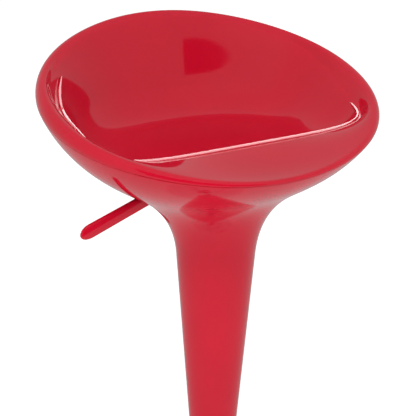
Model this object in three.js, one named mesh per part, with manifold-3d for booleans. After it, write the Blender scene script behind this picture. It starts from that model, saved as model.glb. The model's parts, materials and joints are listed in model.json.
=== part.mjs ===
// Adjustable swivel bar stool: a moulded two-shell seat on a gas-lift column, a spun base and a footrest loop.
// Millimetres, +Z up. The swivel axis is the Z axis, the floor is z = 0 and the sitter faces -Y.
// The seat is drawn at the top of its travel.
import * as THREE from "three";
import { mergeVertices } from "three/addons/utils/BufferGeometryUtils.js";
import Module from "manifold-3d";

const wasm = await Module();
wasm.setup();

const GAP = 0.3; // clearance between touching pieces

// Seat rim: a tilted superellipse. Angle 0 is the front, 180 the back.
const RIM_FRONT_Z = 757;
const RIM_RISE = 100.7;
const RIM_HALF_WIDTH = 227.5;
const RIM_HALF_DEPTH = 192.6;
const RIM_CENTRE_Y = 19.4;
const RIM_SQUARENESS = 2.06;
const ROLL_WIDTH_FRONT = 5; // the rolled edge, measured inwards from the rim
const ROLL_WIDTH_GAIN = 8;
const ROLL_HEIGHT_FRONT = 3.5;
const ROLL_HEIGHT_GAIN = 19.5;

// Ridge between the front land and the basin.
const RIDGE_HALF_WIDTH = 191.5;
const RIDGE_FRONT_Y = -79.8;
const RIDGE_BACK_Y = 184;
const RIDGE_CENTRE_Y = 28;
const RIDGE_FRONT_SQUARENESS = 5.3;
const RIDGE_BACK_SQUARENESS = 2.2;
const RIDGE_FRONT_Z = RIM_FRONT_Z + 16.4;
const RIDGE_SLOPE = 0.217;
const RIDGE_BACK_LIFT = 38;
const RIDGE_BACK_LIFT_FROM = 60;
const RIDGE_ROUND_FRONT = 4;
const RIDGE_ROUND_BACK = 26;
const RIDGE_SHARP_TO = 0.96; // the ridge softens between these angles from the front, in radians
const RIDGE_SOFT_FROM = 1.92;

// Basin.
const BASIN_FLOOR_Z = RIM_FRONT_Z - 22;
const BASIN_POWER_BACK = 5.5;
const BASIN_POWER_GAIN = 0.5;
const PAN_WALL = 4;

// Lower shell: a flare that runs down into a tapered trunk.
const NECK_RADIUS = 52.8;
const NECK_Z = RIM_FRONT_Z - 158.7;
const TRUNK_TAPER = 0.078;
const TRUNK_END_Z = 300;
const FLARE_NECK_HANDLE = 110;
const FLARE_RIM_HANDLE = 0.678;
const FLARE_RIM_SLOPE = 0.885;
const FLARE_RIM_SLOPE_GAIN = 0.459;
const SHELL_WALL = 3;
const SEAM_GAP = 0.4;
const SLOT_WIDTH = 13;
const SLOT_INNER_X = -70;
const SLOT_OUTER_X = -156.5;

// Gas lift.
const TUBE_RADIUS = 14;
const TUBE_WALL = 1.5;
const TUBE_BOTTOM_Z = 340;
const TUBE_TOP_Z = 672;
const ROD_RADIUS = 5;
const ROD_BOTTOM_Z = 50;
const ROD_TOP_Z = 378;
const PIN_RADIUS = 4;
const PIN_TOP_Z = 684.2;

// Column and base.
const COLUMN_RADIUS = 24;
const COLUMN_WALL = 2;
const COLUMN_TOP_Z = 400;
const COLUMN_BOTTOM_Z = 18.3;
const BASE_RADIUS = 195;
const BASE_NECK_Z = 60;

// Seat bracket and release lever.
const PLATE_Z = 700;
const PLATE_THICKNESS = 3;
const BOLT_X = 48;
const BOLT_Y = 33;
const BOLT_RADIUS = 3;
const CHEEK_Y = 20;
const PIVOT_X = -38;
const PIVOT_Z = 688.5;
const PIVOT_RADIUS = 3;
const LEVER_SLOPE = 0.35;
const LEVER_LINE_X = -107;
const LEVER_LINE_Z = RIM_FRONT_Z - 65.5;
const GRIP_INNER_X = -88;
const GRIP_TIP_X = -197;
const GRIP_HEIGHT = 18;
const GRIP_THICKNESS = 8.5;
const TANG_THICKNESS = 3;
const TANG_HEIGHT = 9;
const TANG_END_X = -150;

// Footrest.
const FOOTREST_TUBE_RADIUS = 10;
const FOOTREST_REACH = RIM_CENTRE_Y + RIM_HALF_DEPTH;
const COLLAR_RADIUS = 33;
const COLLAR_BOTTOM_Z = 62;
const COLLAR_TOP_Z = 84;

// Fineness.
const SEAT_SEGMENTS = 48;
const ROUND_SEGMENTS = 24;
const SMALL_SEGMENTS = 12;
const BASE_SEGMENTS = 40;

const material = (color, roughness, metalness) =>
  new THREE.MeshStandardMaterial({ color, roughness, metalness });
const RED = material(0xb8142c, 0.12, 0);
const CHROME = material(0xd4d7da, 0.08, 1);
const STEEL = material(0x9b9ea2, 0.35, 1);
const BLACK_STEEL = material(0x1d1e20, 0.45, 0.6);
const BLACK_PLASTIC = material(0x17181a, 0.5, 0);
const RUBBER = material(0x111111, 0.85, 0);

const stool = new THREE.Group();

function addPiece(name, geometry, look) {
  const mesh = new THREE.Mesh(geometry, look);
  mesh.name = name;
  stool.add(mesh);
  return mesh;
}

// ---- solids ----

function toManifold(geometry) {
  const bare = geometry.clone();
  bare.deleteAttribute("normal");
  bare.deleteAttribute("uv");
  const merged = mergeVertices(bare, 1e-3);
  return new wasm.Manifold(
    new wasm.Mesh({
      numProp: 3,
      vertProperties: merged.attributes.position.array,
      triVerts: new Uint32Array(merged.index.array),
    }),
  );
}

function toGeometry(manifold) {
  const mesh = manifold.getMesh();
  const geometry = new THREE.BufferGeometry();
  geometry.setAttribute("position", new THREE.BufferAttribute(mesh.vertProperties, 3));
  geometry.setIndex(new THREE.BufferAttribute(mesh.triVerts, 1));
  geometry.computeVertexNormals();
  return geometry;
}

const join = (...geometries) =>
  toGeometry(geometries.map(toManifold).reduce((a, b) => a.add(b)));

const cut = (body, ...tools) =>
  toGeometry(tools.map(toManifold).reduce((a, b) => a.subtract(b), toManifold(body)));

// A solid of revolution about Z from [radius, z] corners, listed counter-clockwise with z up.
// The outline ends on the axis, or closes on itself as a ring.
function revolve(corners, segments = ROUND_SEGMENTS) {
  const points = corners.map(([r, z]) => new THREE.Vector2(r, z));
  const onAxis = corners[0][0] === 0;
  if (!onAxis) points.push(points[0].clone());
  return new THREE.LatheGeometry(points, segments).rotateX(Math.PI / 2);
}

const ring = (inner, outer, bottom, top, segments = ROUND_SEGMENTS) =>
  revolve([[inner, bottom], [outer, bottom], [outer, top], [inner, top]], segments);

const disc = (radius, bottom, top, segments = ROUND_SEGMENTS) =>
  revolve([[0, bottom], [radius, bottom], [radius, top], [0, top]], segments);

const hexagon = (radius, bottom, top) =>
  new THREE.CylinderGeometry(radius, radius, top - bottom, 6)
    .rotateX(Math.PI / 2)
    .translate(0, 0, (bottom + top) / 2);

function rod(radius, from, to, segments = SMALL_SEGMENTS) {
  const along = new THREE.Vector3().subVectors(to, from);
  const geometry = new THREE.CylinderGeometry(radius, radius, along.length(), segments);
  const turn = new THREE.Quaternion().setFromUnitVectors(
    new THREE.Vector3(0, 1, 0),
    along.clone().normalize(),
  );
  const middle = new THREE.Vector3().addVectors(from, to).multiplyScalar(0.5);
  return geometry.applyQuaternion(turn).translate(middle.x, middle.y, middle.z);
}

const box = (x0, x1, y0, y1, z0, z1) =>
  new THREE.BoxGeometry(x1 - x0, y1 - y0, z1 - z0).translate(
    (x0 + x1) / 2,
    (y0 + y1) / 2,
    (z0 + z1) / 2,
  );

// A closed skin over rings of points. Each ring has the same count and goes round the same way.
// With poles the first and last rings are closed by a point; without, the last ring joins the first.
function skin(rings, poles = null) {
  const count = rings[0].length;
  const positions = rings.flat().flatMap((p) => [p.x, p.y, p.z]);
  const faces = [];
  const quad = (a, b, i) => {
    const j = (i + 1) % count;
    faces.push(a * count + i, b * count + j, a * count + j);
    faces.push(a * count + i, b * count + i, b * count + j);
  };
  const rows = poles ? rings.length - 1 : rings.length;
  for (let row = 0; row < rows; row += 1) {
    for (let i = 0; i < count; i += 1) quad(row, (row + 1) % rings.length, i);
  }
  if (poles) {
    const first = rings.length * count;
    positions.push(...poles[0].toArray(), ...poles[1].toArray());
    const lastRow = (rings.length - 1) * count;
    for (let i = 0; i < count; i += 1) {
      const j = (i + 1) % count;
      faces.push(first, i, j);
      faces.push(first + 1, lastRow + j, lastRow + i);
    }
  }
  const geometry = new THREE.BufferGeometry();
  geometry.setAttribute("position", new THREE.Float32BufferAttribute(positions, 3));
  geometry.setIndex(faces);
  return geometry;
}

// The points of a skin moved inwards along its normal. Rings run outwards or downwards over the skin.
function insetRings(rings, distance) {
  const last = rings.length - 1;
  return rings.map((points, row) =>
    points.map((point, i) => {
      const count = points.length;
      const round = new THREE.Vector3().subVectors(
        points[(i + 1) % count],
        points[(i + count - 1) % count],
      );
      const across = new THREE.Vector3().subVectors(
        rings[Math.min(row + 1, last)][i],
        rings[Math.max(row - 1, 0)][i],
      );
      const normal = new THREE.Vector3().crossVectors(round, across).normalize();
      return point.clone().addScaledVector(normal, distance);
    }),
  );
}

// ---- the seat's curves ----

const smooth = (x) => {
  const t = Math.min(Math.max(x, 0), 1);
  return t * t * (3 - 2 * t);
};
const mix = (a, b, t) => a + (b - a) * t;
const backness = (angle) => (1 - Math.cos(angle)) / 2;
const outward = (angle) => new THREE.Vector3(Math.sin(angle), -Math.cos(angle), 0);
const seatAngles = Array.from({ length: SEAT_SEGMENTS }, (_, i) => (i * 2 * Math.PI) / SEAT_SEGMENTS);

function superellipse(angle, halfWidth, halfDepth, power) {
  const side = (Math.abs(Math.sin(angle)) / halfWidth) ** power;
  const end = (Math.abs(Math.cos(angle)) / halfDepth) ** power;
  return (side + end) ** (-1 / power);
}

function rimPoint(angle) {
  const reach = superellipse(angle, RIM_HALF_WIDTH, RIM_HALF_DEPTH, RIM_SQUARENESS);
  return outward(angle)
    .multiplyScalar(reach)
    .add(new THREE.Vector3(0, RIM_CENTRE_Y, RIM_FRONT_Z + RIM_RISE * backness(angle)));
}

function ridgePoint(angle) {
  const front = Math.cos(angle) > 0;
  const depth = front ? RIDGE_CENTRE_Y - RIDGE_FRONT_Y : RIDGE_BACK_Y - RIDGE_CENTRE_Y;
  const power = front ? RIDGE_FRONT_SQUARENESS : RIDGE_BACK_SQUARENESS;
  const point = outward(angle).multiplyScalar(superellipse(angle, RIDGE_HALF_WIDTH, depth, power));
  point.y += RIDGE_CENTRE_Y;
  const lift = smooth((point.y - RIDGE_BACK_LIFT_FROM) / (RIDGE_BACK_Y - RIDGE_BACK_LIFT_FROM));
  point.z = RIDGE_FRONT_Z + RIDGE_SLOPE * (point.y - RIDGE_FRONT_Y) + RIDGE_BACK_LIFT * lift;
  return point;
}

const rollHeight = (angle) => ROLL_HEIGHT_FRONT + ROLL_HEIGHT_GAIN * backness(angle);
const rollWidth = (angle) => ROLL_WIDTH_FRONT + ROLL_WIDTH_GAIN * backness(angle);
const rimSlope = (angle) => FLARE_RIM_SLOPE + FLARE_RIM_SLOPE_GAIN * backness(angle);

// The rolled edge: an upright ellipse that ends where its tangent meets the flare.
function rollPoint(angle, turn) {
  const inwards = rollWidth(angle) * (Math.cos(turn) - 1);
  const point = rimPoint(angle).addScaledVector(outward(angle), inwards);
  point.z += rollHeight(angle) * Math.sin(turn);
  return point;
}

const rollEnd = (angle) =>
  -Math.atan(rollHeight(angle) / (rollWidth(angle) * Math.tan(rimSlope(angle))));

function cubic(points, t) {
  const s = 1 - t;
  const weights = [s * s * s, 3 * s * s * t, 3 * s * t * t, t * t * t];
  const sum = new THREE.Vector3();
  points.forEach((point, i) => sum.addScaledVector(point, weights[i]));
  return sum;
}

const stepTo = (point, direction, length) => point.clone().addScaledVector(direction, length);

const basinPower = (angle) => BASIN_POWER_BACK + BASIN_POWER_GAIN * (1 - backness(angle));

// The height of the basin's upper face over a point of the plan, inside the ridge.
function basinHeight(x, y) {
  const angle = Math.atan2(x, RIDGE_CENTRE_Y - y);
  const ridge = ridgePoint(angle);
  const share = Math.hypot(x, y - RIDGE_CENTRE_Y) / Math.hypot(ridge.x, ridge.y - RIDGE_CENTRE_Y);
  return BASIN_FLOOR_Z + (ridge.z - BASIN_FLOOR_Z) * share ** basinPower(angle);
}

// One meridian of the pan's upper face, from beside the basin's centre out to the seam.
function panMeridian(angle) {
  const ridge = ridgePoint(angle);
  const centre = new THREE.Vector3(0, RIDGE_CENTRE_Y, BASIN_FLOOR_Z);
  const flat = new THREE.Vector3(ridge.x, ridge.y - RIDGE_CENTRE_Y, 0);
  const depth = ridge.z - BASIN_FLOOR_Z;
  const power = basinPower(angle);
  const basin = (s) =>
    stepTo(centre, flat, s).add(new THREE.Vector3(0, 0, depth * s ** power));
  const crest = rollPoint(angle, Math.PI / 2);
  const landWay = new THREE.Vector3().subVectors(crest, ridge);
  const landLength = landWay.length();
  landWay.normalize();

  const aside = Math.acos(Math.cos(angle));
  const softness = smooth((aside - RIDGE_SHARP_TO) / (RIDGE_SOFT_FROM - RIDGE_SHARP_TO));
  const round = mix(RIDGE_ROUND_FRONT, RIDGE_ROUND_BACK, softness);
  const roundIn = 1 - round / flat.length();
  const roundOut = Math.min(round, 0.55 * landLength);
  const start = basin(roundIn);
  const startWay = flat
    .clone()
    .add(new THREE.Vector3(0, 0, depth * power * roundIn ** (power - 1)))
    .normalize();
  const end = stepTo(ridge, landWay, roundOut);
  const ridgeCurve = [
    start,
    stepTo(start, startWay, 0.7 * round),
    stepTo(end, landWay, -0.7 * roundOut),
    end,
  ];
  const landRest = landLength - roundOut;
  const landCurve = [
    end,
    stepTo(end, landWay, landRest / 3),
    stepTo(crest, outward(angle), -landRest / 3),
    crest,
  ];
  const lastTurn = rollEnd(angle);
  return [
    ...[0.3, 0.6, 0.75, 0.85, 0.93].map((s) => basin(s * roundIn)),
    ...[0, 0.3, 0.55, 0.8].map((t) => cubic(ridgeCurve, t)),
    ...[0, 0.5].map((t) => cubic(landCurve, t)),
    ...[1, 0.67, 0.33, 0].map((share) => rollPoint(angle, (share * Math.PI) / 2)),
    ...[0.85, 1].map((share) => rollPoint(angle, share * lastTurn)),
  ];
}

// One meridian of the lower shell's outer face, from the trunk's end up to the seam.
function shellMeridian(angle) {
  const way = outward(angle);
  const trunk = (z) => way.clone().multiplyScalar(NECK_RADIUS - TRUNK_TAPER * (NECK_Z - z)).setZ(z);
  const neck = trunk(NECK_Z);
  const seam = rollPoint(angle, rollEnd(angle));
  const span = new THREE.Vector3().subVectors(seam, neck).setZ(0);
  const width = span.length();
  const across = span.normalize();
  const slope = rimSlope(angle);
  const rise = across.clone().multiplyScalar(Math.cos(slope)).setZ(Math.sin(slope));
  const top = stepTo(seam, rise, -SEAM_GAP);
  const up = across.clone().multiplyScalar(TRUNK_TAPER).setZ(1);
  const flare = [
    neck,
    stepTo(neck, up, FLARE_NECK_HANDLE),
    stepTo(top, rise, -FLARE_RIM_HANDLE * width),
    top,
  ];
  return [
    ...[TRUNK_END_Z, mix(TRUNK_END_Z, NECK_Z, 0.5)].map(trunk),
    ...[0, 0.12, 0.24, 0.36, 0.48, 0.6, 0.72, 0.84, 0.97, 1].map((t) => cubic(flare, t)),
  ];
}

function ringsOf(meridian) {
  const columns = seatAngles.map(meridian);
  return columns[0].map((_, row) => columns.map((points) => points[row]));
}

// ---- seat ----

// The moulded boss over a bracket bolt, from the plate up into the basin's floor.
function boltBoss(x, y) {
  const bottom = PLATE_Z + PLATE_THICKNESS + GAP;
  return disc(8, bottom, basinHeight(x, y) - 0.55 * PAN_WALL, SMALL_SEGMENTS).translate(x, y, 0);
}

const boltPlaces = [-1, 1].flatMap((sx) => [-1, 1].map((sy) => [sx * BOLT_X, sy * BOLT_Y]));

function addSeatPan() {
  const upper = ringsOf(panMeridian);
  const lower = insetRings(upper, PAN_WALL).reverse();
  const top = new THREE.Vector3(0, RIDGE_CENTRE_Y, BASIN_FLOOR_Z);
  const bottom = top.clone().setZ(BASIN_FLOOR_Z - PAN_WALL);
  const shell = skin([...upper, ...lower], [top, bottom]);
  const bosses = boltPlaces.map(([x, y]) => boltBoss(x, y));
  const holes = boltPlaces.map(([x, y]) =>
    disc(BOLT_RADIUS + GAP, PLATE_Z, BASIN_FLOOR_Z - PAN_WALL - 2, SMALL_SEGMENTS).translate(x, y, 0),
  );
  addPiece("seat_pan", cut(join(shell, ...bosses), ...holes), RED);
}

// The upright slot that the release lever passes through, round at both ends.
function leverSlot() {
  const radius = SLOT_WIDTH / 2;
  const inner = SLOT_INNER_X - radius;
  const outer = SLOT_OUTER_X + radius;
  const low = NECK_Z;
  const high = RIM_FRONT_Z - 20;
  const end = (x) => disc(radius, low, high, SMALL_SEGMENTS).translate(x, 0, 0);
  return join(box(outer, inner, -radius, radius, low, high), end(inner), end(outer));
}

function addLowerShell() {
  const outer = ringsOf(shellMeridian).reverse();
  const inner = insetRings(outer, SHELL_WALL).reverse();
  addPiece("lower_shell", cut(skin([...outer, ...inner]), leverSlot()), RED);
  const bottom = TRUNK_END_Z + 2;
  const bore = NECK_RADIUS - TRUNK_TAPER * (NECK_Z - bottom) - SHELL_WALL;
  addPiece("trunk_guide_ring", ring(COLUMN_RADIUS + 0.4, bore - GAP, bottom, bottom + 14), BLACK_PLASTIC);
}

// ---- bracket ----

function bracketCheek(side) {
  const near = side * CHEEK_Y;
  const far = side * (CHEEK_Y + PLATE_THICKNESS);
  return box(-52, 26, Math.min(near, far), Math.max(near, far), 665, PLATE_Z + 1);
}

function addBracket() {
  const plate = new THREE.Shape();
  const halfX = 56;
  const halfY = 58;
  const corner = 14;
  plate.moveTo(-halfX + corner, -halfY);
  plate.lineTo(halfX - corner, -halfY);
  plate.lineTo(halfX, -halfY + corner);
  plate.lineTo(halfX, halfY - corner);
  plate.lineTo(halfX - corner, halfY);
  plate.lineTo(-halfX + corner, halfY);
  plate.lineTo(-halfX, halfY - corner);
  plate.lineTo(-halfX, -halfY + corner);
  plate.closePath();
  const top = new THREE.ExtrudeGeometry(plate, { depth: PLATE_THICKNESS, bevelEnabled: false });
  top.translate(0, 0, PLATE_Z);
  const floor = box(-26, 26, -CHEEK_Y - 1, CHEEK_Y + 1, 665, 668);
  const body = join(top, floor, bracketCheek(-1), bracketCheek(1));
  const holes = boltPlaces.map(([x, y]) =>
    disc(BOLT_RADIUS + GAP, PLATE_Z - 1, PLATE_Z + PLATE_THICKNESS + 1, SMALL_SEGMENTS).translate(x, y, 0),
  );
  const tubeHole = disc(TUBE_RADIUS + 0.6, 660, 670, ROUND_SEGMENTS);
  const pivotHole = rod(
    PIVOT_RADIUS + GAP,
    new THREE.Vector3(PIVOT_X, -30, PIVOT_Z),
    new THREE.Vector3(PIVOT_X, 30, PIVOT_Z),
  );
  addPiece("seat_bracket", cut(body, ...holes, tubeHole, pivotHole), BLACK_STEEL);

  const bore = TUBE_RADIUS + GAP;
  const flangeTop = 665 - GAP;
  addPiece(
    "bracket_socket",
    revolve([
      [bore, 620],
      [19, 620],
      [19, 658],
      [23, 661],
      [23, flangeTop],
      [bore, flangeTop],
    ]),
    BLACK_STEEL,
  );
}

function addBolts() {
  const washerTop = PLATE_Z - GAP;
  const washerBottom = washerTop - 1.3;
  const headTop = washerBottom - GAP;
  boltPlaces.forEach(([x, y], i) => {
    const washer = ring(BOLT_RADIUS + GAP, 7, washerBottom, washerTop, SMALL_SEGMENTS);
    addPiece(`bolt_washer_${i + 1}`, washer.translate(x, y, 0), STEEL);
    const bolt = revolve(
      [
        [0, headTop - 4],
        [4, headTop - 4],
        [5.5, headTop - 2.5],
        [5.5, headTop],
        [BOLT_RADIUS, headTop],
        [BOLT_RADIUS, 714],
        [0, 714],
      ],
      SMALL_SEGMENTS,
    );
    addPiece(`seat_bolt_${i + 1}`, bolt.translate(x, y, 0), STEEL);
  });
}

// ---- release lever ----

const leverLine = (x) => LEVER_LINE_Z + LEVER_SLOPE * (x - LEVER_LINE_X);

function addLever() {
  const half = TANG_HEIGHT / 2;
  const bendX = -84;
  const outline = new THREE.Shape();
  outline.moveTo(8, PIVOT_Z - 4);
  outline.lineTo(8, PIVOT_Z + 4);
  outline.lineTo(PIVOT_X, PIVOT_Z + half);
  outline.lineTo(bendX, leverLine(bendX) + half - 1);
  outline.lineTo(TANG_END_X, leverLine(TANG_END_X) + half);
  outline.lineTo(TANG_END_X, leverLine(TANG_END_X) - half);
  outline.lineTo(bendX, leverLine(bendX) - half);
  outline.lineTo(PIVOT_X, PIVOT_Z - half);
  outline.closePath();
  // The outline's second coordinate is height, so the plate is stood up about X.
  const blade = new THREE.ExtrudeGeometry(outline, { depth: TANG_THICKNESS, bevelEnabled: false })
    .rotateX(Math.PI / 2)
    .translate(0, TANG_THICKNESS / 2, 0);
  const hubEnd = CHEEK_Y - 1;
  const across = (radius, reach) =>
    rod(radius, new THREE.Vector3(PIVOT_X, -reach, PIVOT_Z), new THREE.Vector3(PIVOT_X, reach, PIVOT_Z));
  addPiece("lever_blade", cut(join(blade, across(6.5, hubEnd)), across(PIVOT_RADIUS + GAP, 30)), STEEL);

  addPiece("lever_pivot_pin", across(PIVOT_RADIUS, CHEEK_Y + PLATE_THICKNESS + 3), STEEL);
}

// The moulded handle: a lens-shaped section carried along the lever's line to a rounded tip.
function addLeverGrip() {
  const sides = 12;
  const length = (GRIP_INNER_X - GRIP_TIP_X) * Math.hypot(1, LEVER_SLOPE);
  const along = new THREE.Vector3(-1, 0, -LEVER_SLOPE).normalize();
  const upward = new THREE.Vector3(-LEVER_SLOPE, 0, 1).normalize();
  const origin = new THREE.Vector3(GRIP_INNER_X, 0, leverLine(GRIP_INNER_X));
  const tipLength = 15;
  const section = (distance) => {
    const toTip = length - distance;
    const closing = Math.sqrt(Math.max(0, 1 - Math.max(0, 1 - toTip / tipLength) ** 2));
    const half = (GRIP_HEIGHT / 2) * mix(1, 1.1, smooth(distance / length)) * closing;
    const thick = (GRIP_THICKNESS / 2) * Math.sqrt(closing);
    const centre = stepTo(stepTo(origin, along, distance), upward, -1.2 * (1 - closing));
    return Array.from({ length: sides }, (_, i) => {
      const turn = (i * 2 * Math.PI) / sides;
      const side = Math.sign(Math.cos(turn)) * Math.abs(Math.cos(turn)) ** 1.15;
      return stepTo(centre, upward, half * Math.sin(turn)).setY(thick * side);
    });
  };
  const places = [0, 0.5, 0.8].map((t) => t * length);
  const tipPlaces = [1, 0.7, 0.4, 0.2, 0.06].map((t) => length - t * tipLength);
  const rings = [...places, ...tipPlaces].map(section);
  const tip = stepTo(stepTo(origin, along, length), upward, -1.2);
  const body = skin(rings, [origin, tip]);
  const pocketLength = (GRIP_INNER_X - TANG_END_X) * Math.hypot(1, LEVER_SLOPE) + 2;
  const pocket = new THREE.BoxGeometry(2 * pocketLength, TANG_THICKNESS + 2 * GAP, TANG_HEIGHT + 3 * GAP)
    .rotateY(-Math.atan(LEVER_SLOPE))
    .translate(GRIP_INNER_X, 0, leverLine(GRIP_INNER_X));
  addPiece("lever_grip", cut(body, pocket), RED);
}

// ---- gas lift ----

function addGasLift() {
  const bore = TUBE_RADIUS - TUBE_WALL;
  addPiece("pressure_tube", ring(bore, TUBE_RADIUS, TUBE_BOTTOM_Z, TUBE_TOP_Z), CHROME);
  const inside = bore - GAP;
  const aroundRod = ROD_RADIUS + GAP;
  addPiece("rod_guide", ring(aroundRod, inside, TUBE_BOTTOM_Z + 1, TUBE_BOTTOM_Z + 13, 24), BLACK_PLASTIC);
  addPiece("rod_seal", ring(aroundRod, inside, TUBE_BOTTOM_Z + 13.3, TUBE_BOTTOM_Z + 18, 24), RUBBER);
  addPiece("piston", ring(aroundRod, inside, TUBE_BOTTOM_Z + 21, TUBE_BOTTOM_Z + 32, 24), STEEL);
  const nutBottom = TUBE_BOTTOM_Z + 32.3;
  const nut = hexagon(9, nutBottom, ROD_TOP_Z - 0.5);
  addPiece("piston_nut", cut(nut, disc(aroundRod, nutBottom - 1, ROD_TOP_Z, 24)), STEEL);
  const pinBore = PIN_RADIUS + 0.4;
  addPiece(
    "valve_body",
    revolve(
      [
        [0, 640],
        [inside, 640],
        [inside, TUBE_TOP_Z - 1],
        [pinBore, TUBE_TOP_Z - 1],
        [pinBore, 650],
        [0, 650],
      ],
      24,
    ),
    STEEL,
  );
  addPiece(
    "release_pin",
    revolve(
      [
        [0, 655],
        [PIN_RADIUS, 655],
        [PIN_RADIUS, PIN_TOP_Z - 1.5],
        [0.6 * PIN_RADIUS, PIN_TOP_Z - 0.4],
        [0, PIN_TOP_Z],
      ],
      SMALL_SEGMENTS,
    ),
    STEEL,
  );
  addPiece(
    "piston_rod",
    revolve(
      [
        [0, ROD_BOTTOM_Z],
        [ROD_RADIUS, ROD_BOTTOM_Z],
        [ROD_RADIUS, 72.6],
        [9, 72.6],
        [9, 78],
        [ROD_RADIUS, 78],
        [ROD_RADIUS, ROD_TOP_Z],
        [0, ROD_TOP_Z],
      ],
      20,
    ),
    STEEL,
  );
  addPiece("bump_stop", ring(ROD_RADIUS + 0.4, 11.5, 78 + GAP, 128, 20), RUBBER);
}

// A spring clip with an open mouth, round the foot of the piston rod.
function addRodClip() {
  const body = ring(ROD_RADIUS + 0.2, 9, 57.5, 59.5, 20);
  addPiece("rod_clip", cut(body, box(0, 12, -2.5, 2.5, 56, 61)), STEEL);
}

// ---- column ----

function addColumn() {
  const bore = COLUMN_RADIUS - COLUMN_WALL;
  addPiece("stand_tube", ring(bore, COLUMN_RADIUS, COLUMN_BOTTOM_Z, COLUMN_TOP_Z), CHROME);
  const slide = TUBE_RADIUS + GAP;
  addPiece(
    "column_bush",
    revolve([
      [slide, 352],
      [bore - GAP, 352],
      [bore - GAP, COLUMN_TOP_Z + GAP],
      [COLUMN_RADIUS, COLUMN_TOP_Z + GAP],
      [COLUMN_RADIUS - 1, COLUMN_TOP_Z + 4],
      [slide, COLUMN_TOP_Z + 4],
    ]),
    BLACK_PLASTIC,
  );
  const aroundRod = ROD_RADIUS + 0.4;
  addPiece("column_floor", ring(aroundRod, bore - GAP, 60, 64, 24), STEEL);
  addPiece("thrust_washer_lower", ring(aroundRod, 14, 64.3, 66, 24), STEEL);
  addPiece("thrust_washer_upper", ring(aroundRod, 14, 70.6, 72.3, 24), STEEL);
  const ballTrack = Array.from({ length: 8 }, (_, i) => {
    const turn = (i * 2 * Math.PI) / 8 + Math.PI / 8;
    return [9.7 + 2.1 * Math.cos(turn), 68.3 + 2.1 * Math.sin(turn)];
  });
  addPiece("thrust_ball_ring", revolve(ballTrack, 24), STEEL);
}

// ---- base ----

// The spun disc's outline: a low dome that sweeps up into a trumpet neck. Radius, height.
function addBaseDisc() {
  const outer = [
    [195, 5],
    [194, 9],
    [189, 12],
    [150, 17],
    [105, 23.5],
    [70, 31],
    [48, 39],
    [35, 48],
    [29, BASE_NECK_Z],
  ];
  const inner = outer.map(([r, z]) => [r - (z < 9 ? 2 : z > 45 ? 2 : 0.6), z - (z < 9 ? 0 : z > 45 ? 0 : 2)]);
  inner[inner.length - 1] = [COLUMN_RADIUS + GAP, BASE_NECK_Z];
  inner[inner.length - 2] = [COLUMN_RADIUS + GAP + 5, 46];
  addPiece("base_disc", revolve([...outer, ...inner.reverse()], BASE_SEGMENTS), CHROME);
}

function addBase() {
  addPiece("floor_ring", ring(180, 193, 0, 4.5, BASE_SEGMENTS), RUBBER);
  addBaseDisc();
  addPiece("ballast_plate", ring(6.5, 168, 8, 12, BASE_SEGMENTS), BLACK_STEEL);
  const plug = COLUMN_RADIUS - COLUMN_WALL - GAP;
  addPiece("column_plug", ring(6.4, plug, 22, 46, 24), STEEL);
  const sleeve = COLUMN_RADIUS + GAP;
  addPiece(
    "column_foot",
    revolve([
      [sleeve, 12.5],
      [46, 12.5],
      [46, 16],
      [28, 17.5],
      [27, 40],
      [sleeve, 40],
    ]),
    STEEL,
  );
  addPiece("base_washer", ring(6.5, 26, 5.8, 7.7, 24), STEEL);
  addPiece("base_bolt", join(hexagon(9.5, 1.5, 5.5), disc(6, 4, 43, SMALL_SEGMENTS)), STEEL);
}

// ---- footrest ----

function addFootrest() {
  addPiece(
    "footrest_collar",
    revolve([
      [COLUMN_RADIUS + GAP, COLLAR_BOTTOM_Z],
      [COLLAR_RADIUS - 2, COLLAR_BOTTOM_Z],
      [COLLAR_RADIUS, COLLAR_BOTTOM_Z + 2],
      [COLLAR_RADIUS, COLLAR_TOP_Z - 2],
      [COLLAR_RADIUS - 2, COLLAR_TOP_Z],
      [COLUMN_RADIUS + GAP, COLLAR_TOP_Z],
    ]),
    CHROME,
  );
  const front = -FOOTREST_REACH + FOOTREST_TUBE_RADIUS;
  const half = [
    [COLLAR_RADIUS + GAP, 0, 73],
    [46, 0, 73],
    [68, -10, 77],
    [104, -48, 104],
    [122, -108, 147],
    [96, -170, 186],
    [48, front + 6, 203],
  ];
  const mirror = half.map(([x, y, z]) => [-x, y, z]).reverse();
  const route = [...half, [0, front, 206], ...mirror].map((p) => new THREE.Vector3(...p));
  const section = new THREE.Shape().absarc(0, 0, FOOTREST_TUBE_RADIUS, 0, 2 * Math.PI);
  const loop = new THREE.ExtrudeGeometry(section, {
    steps: 32,
    curveSegments: 5,
    bevelEnabled: false,
    extrudePath: new THREE.CatmullRomCurve3(route),
  });
  addPiece("footrest_loop", loop, CHROME);
}

addSeatPan();
addLowerShell();
addBracket();
addBolts();
addLever();
addLeverGrip();
addGasLift();
addRodClip();
addColumn();
addBase();
addFootrest();

export default stool;
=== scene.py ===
import json
import math

import bpy
import numpy as np
from bpy.props import FloatProperty, FloatVectorProperty, IntProperty, PointerProperty
from mathutils import Matrix, Quaternion, Vector


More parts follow.
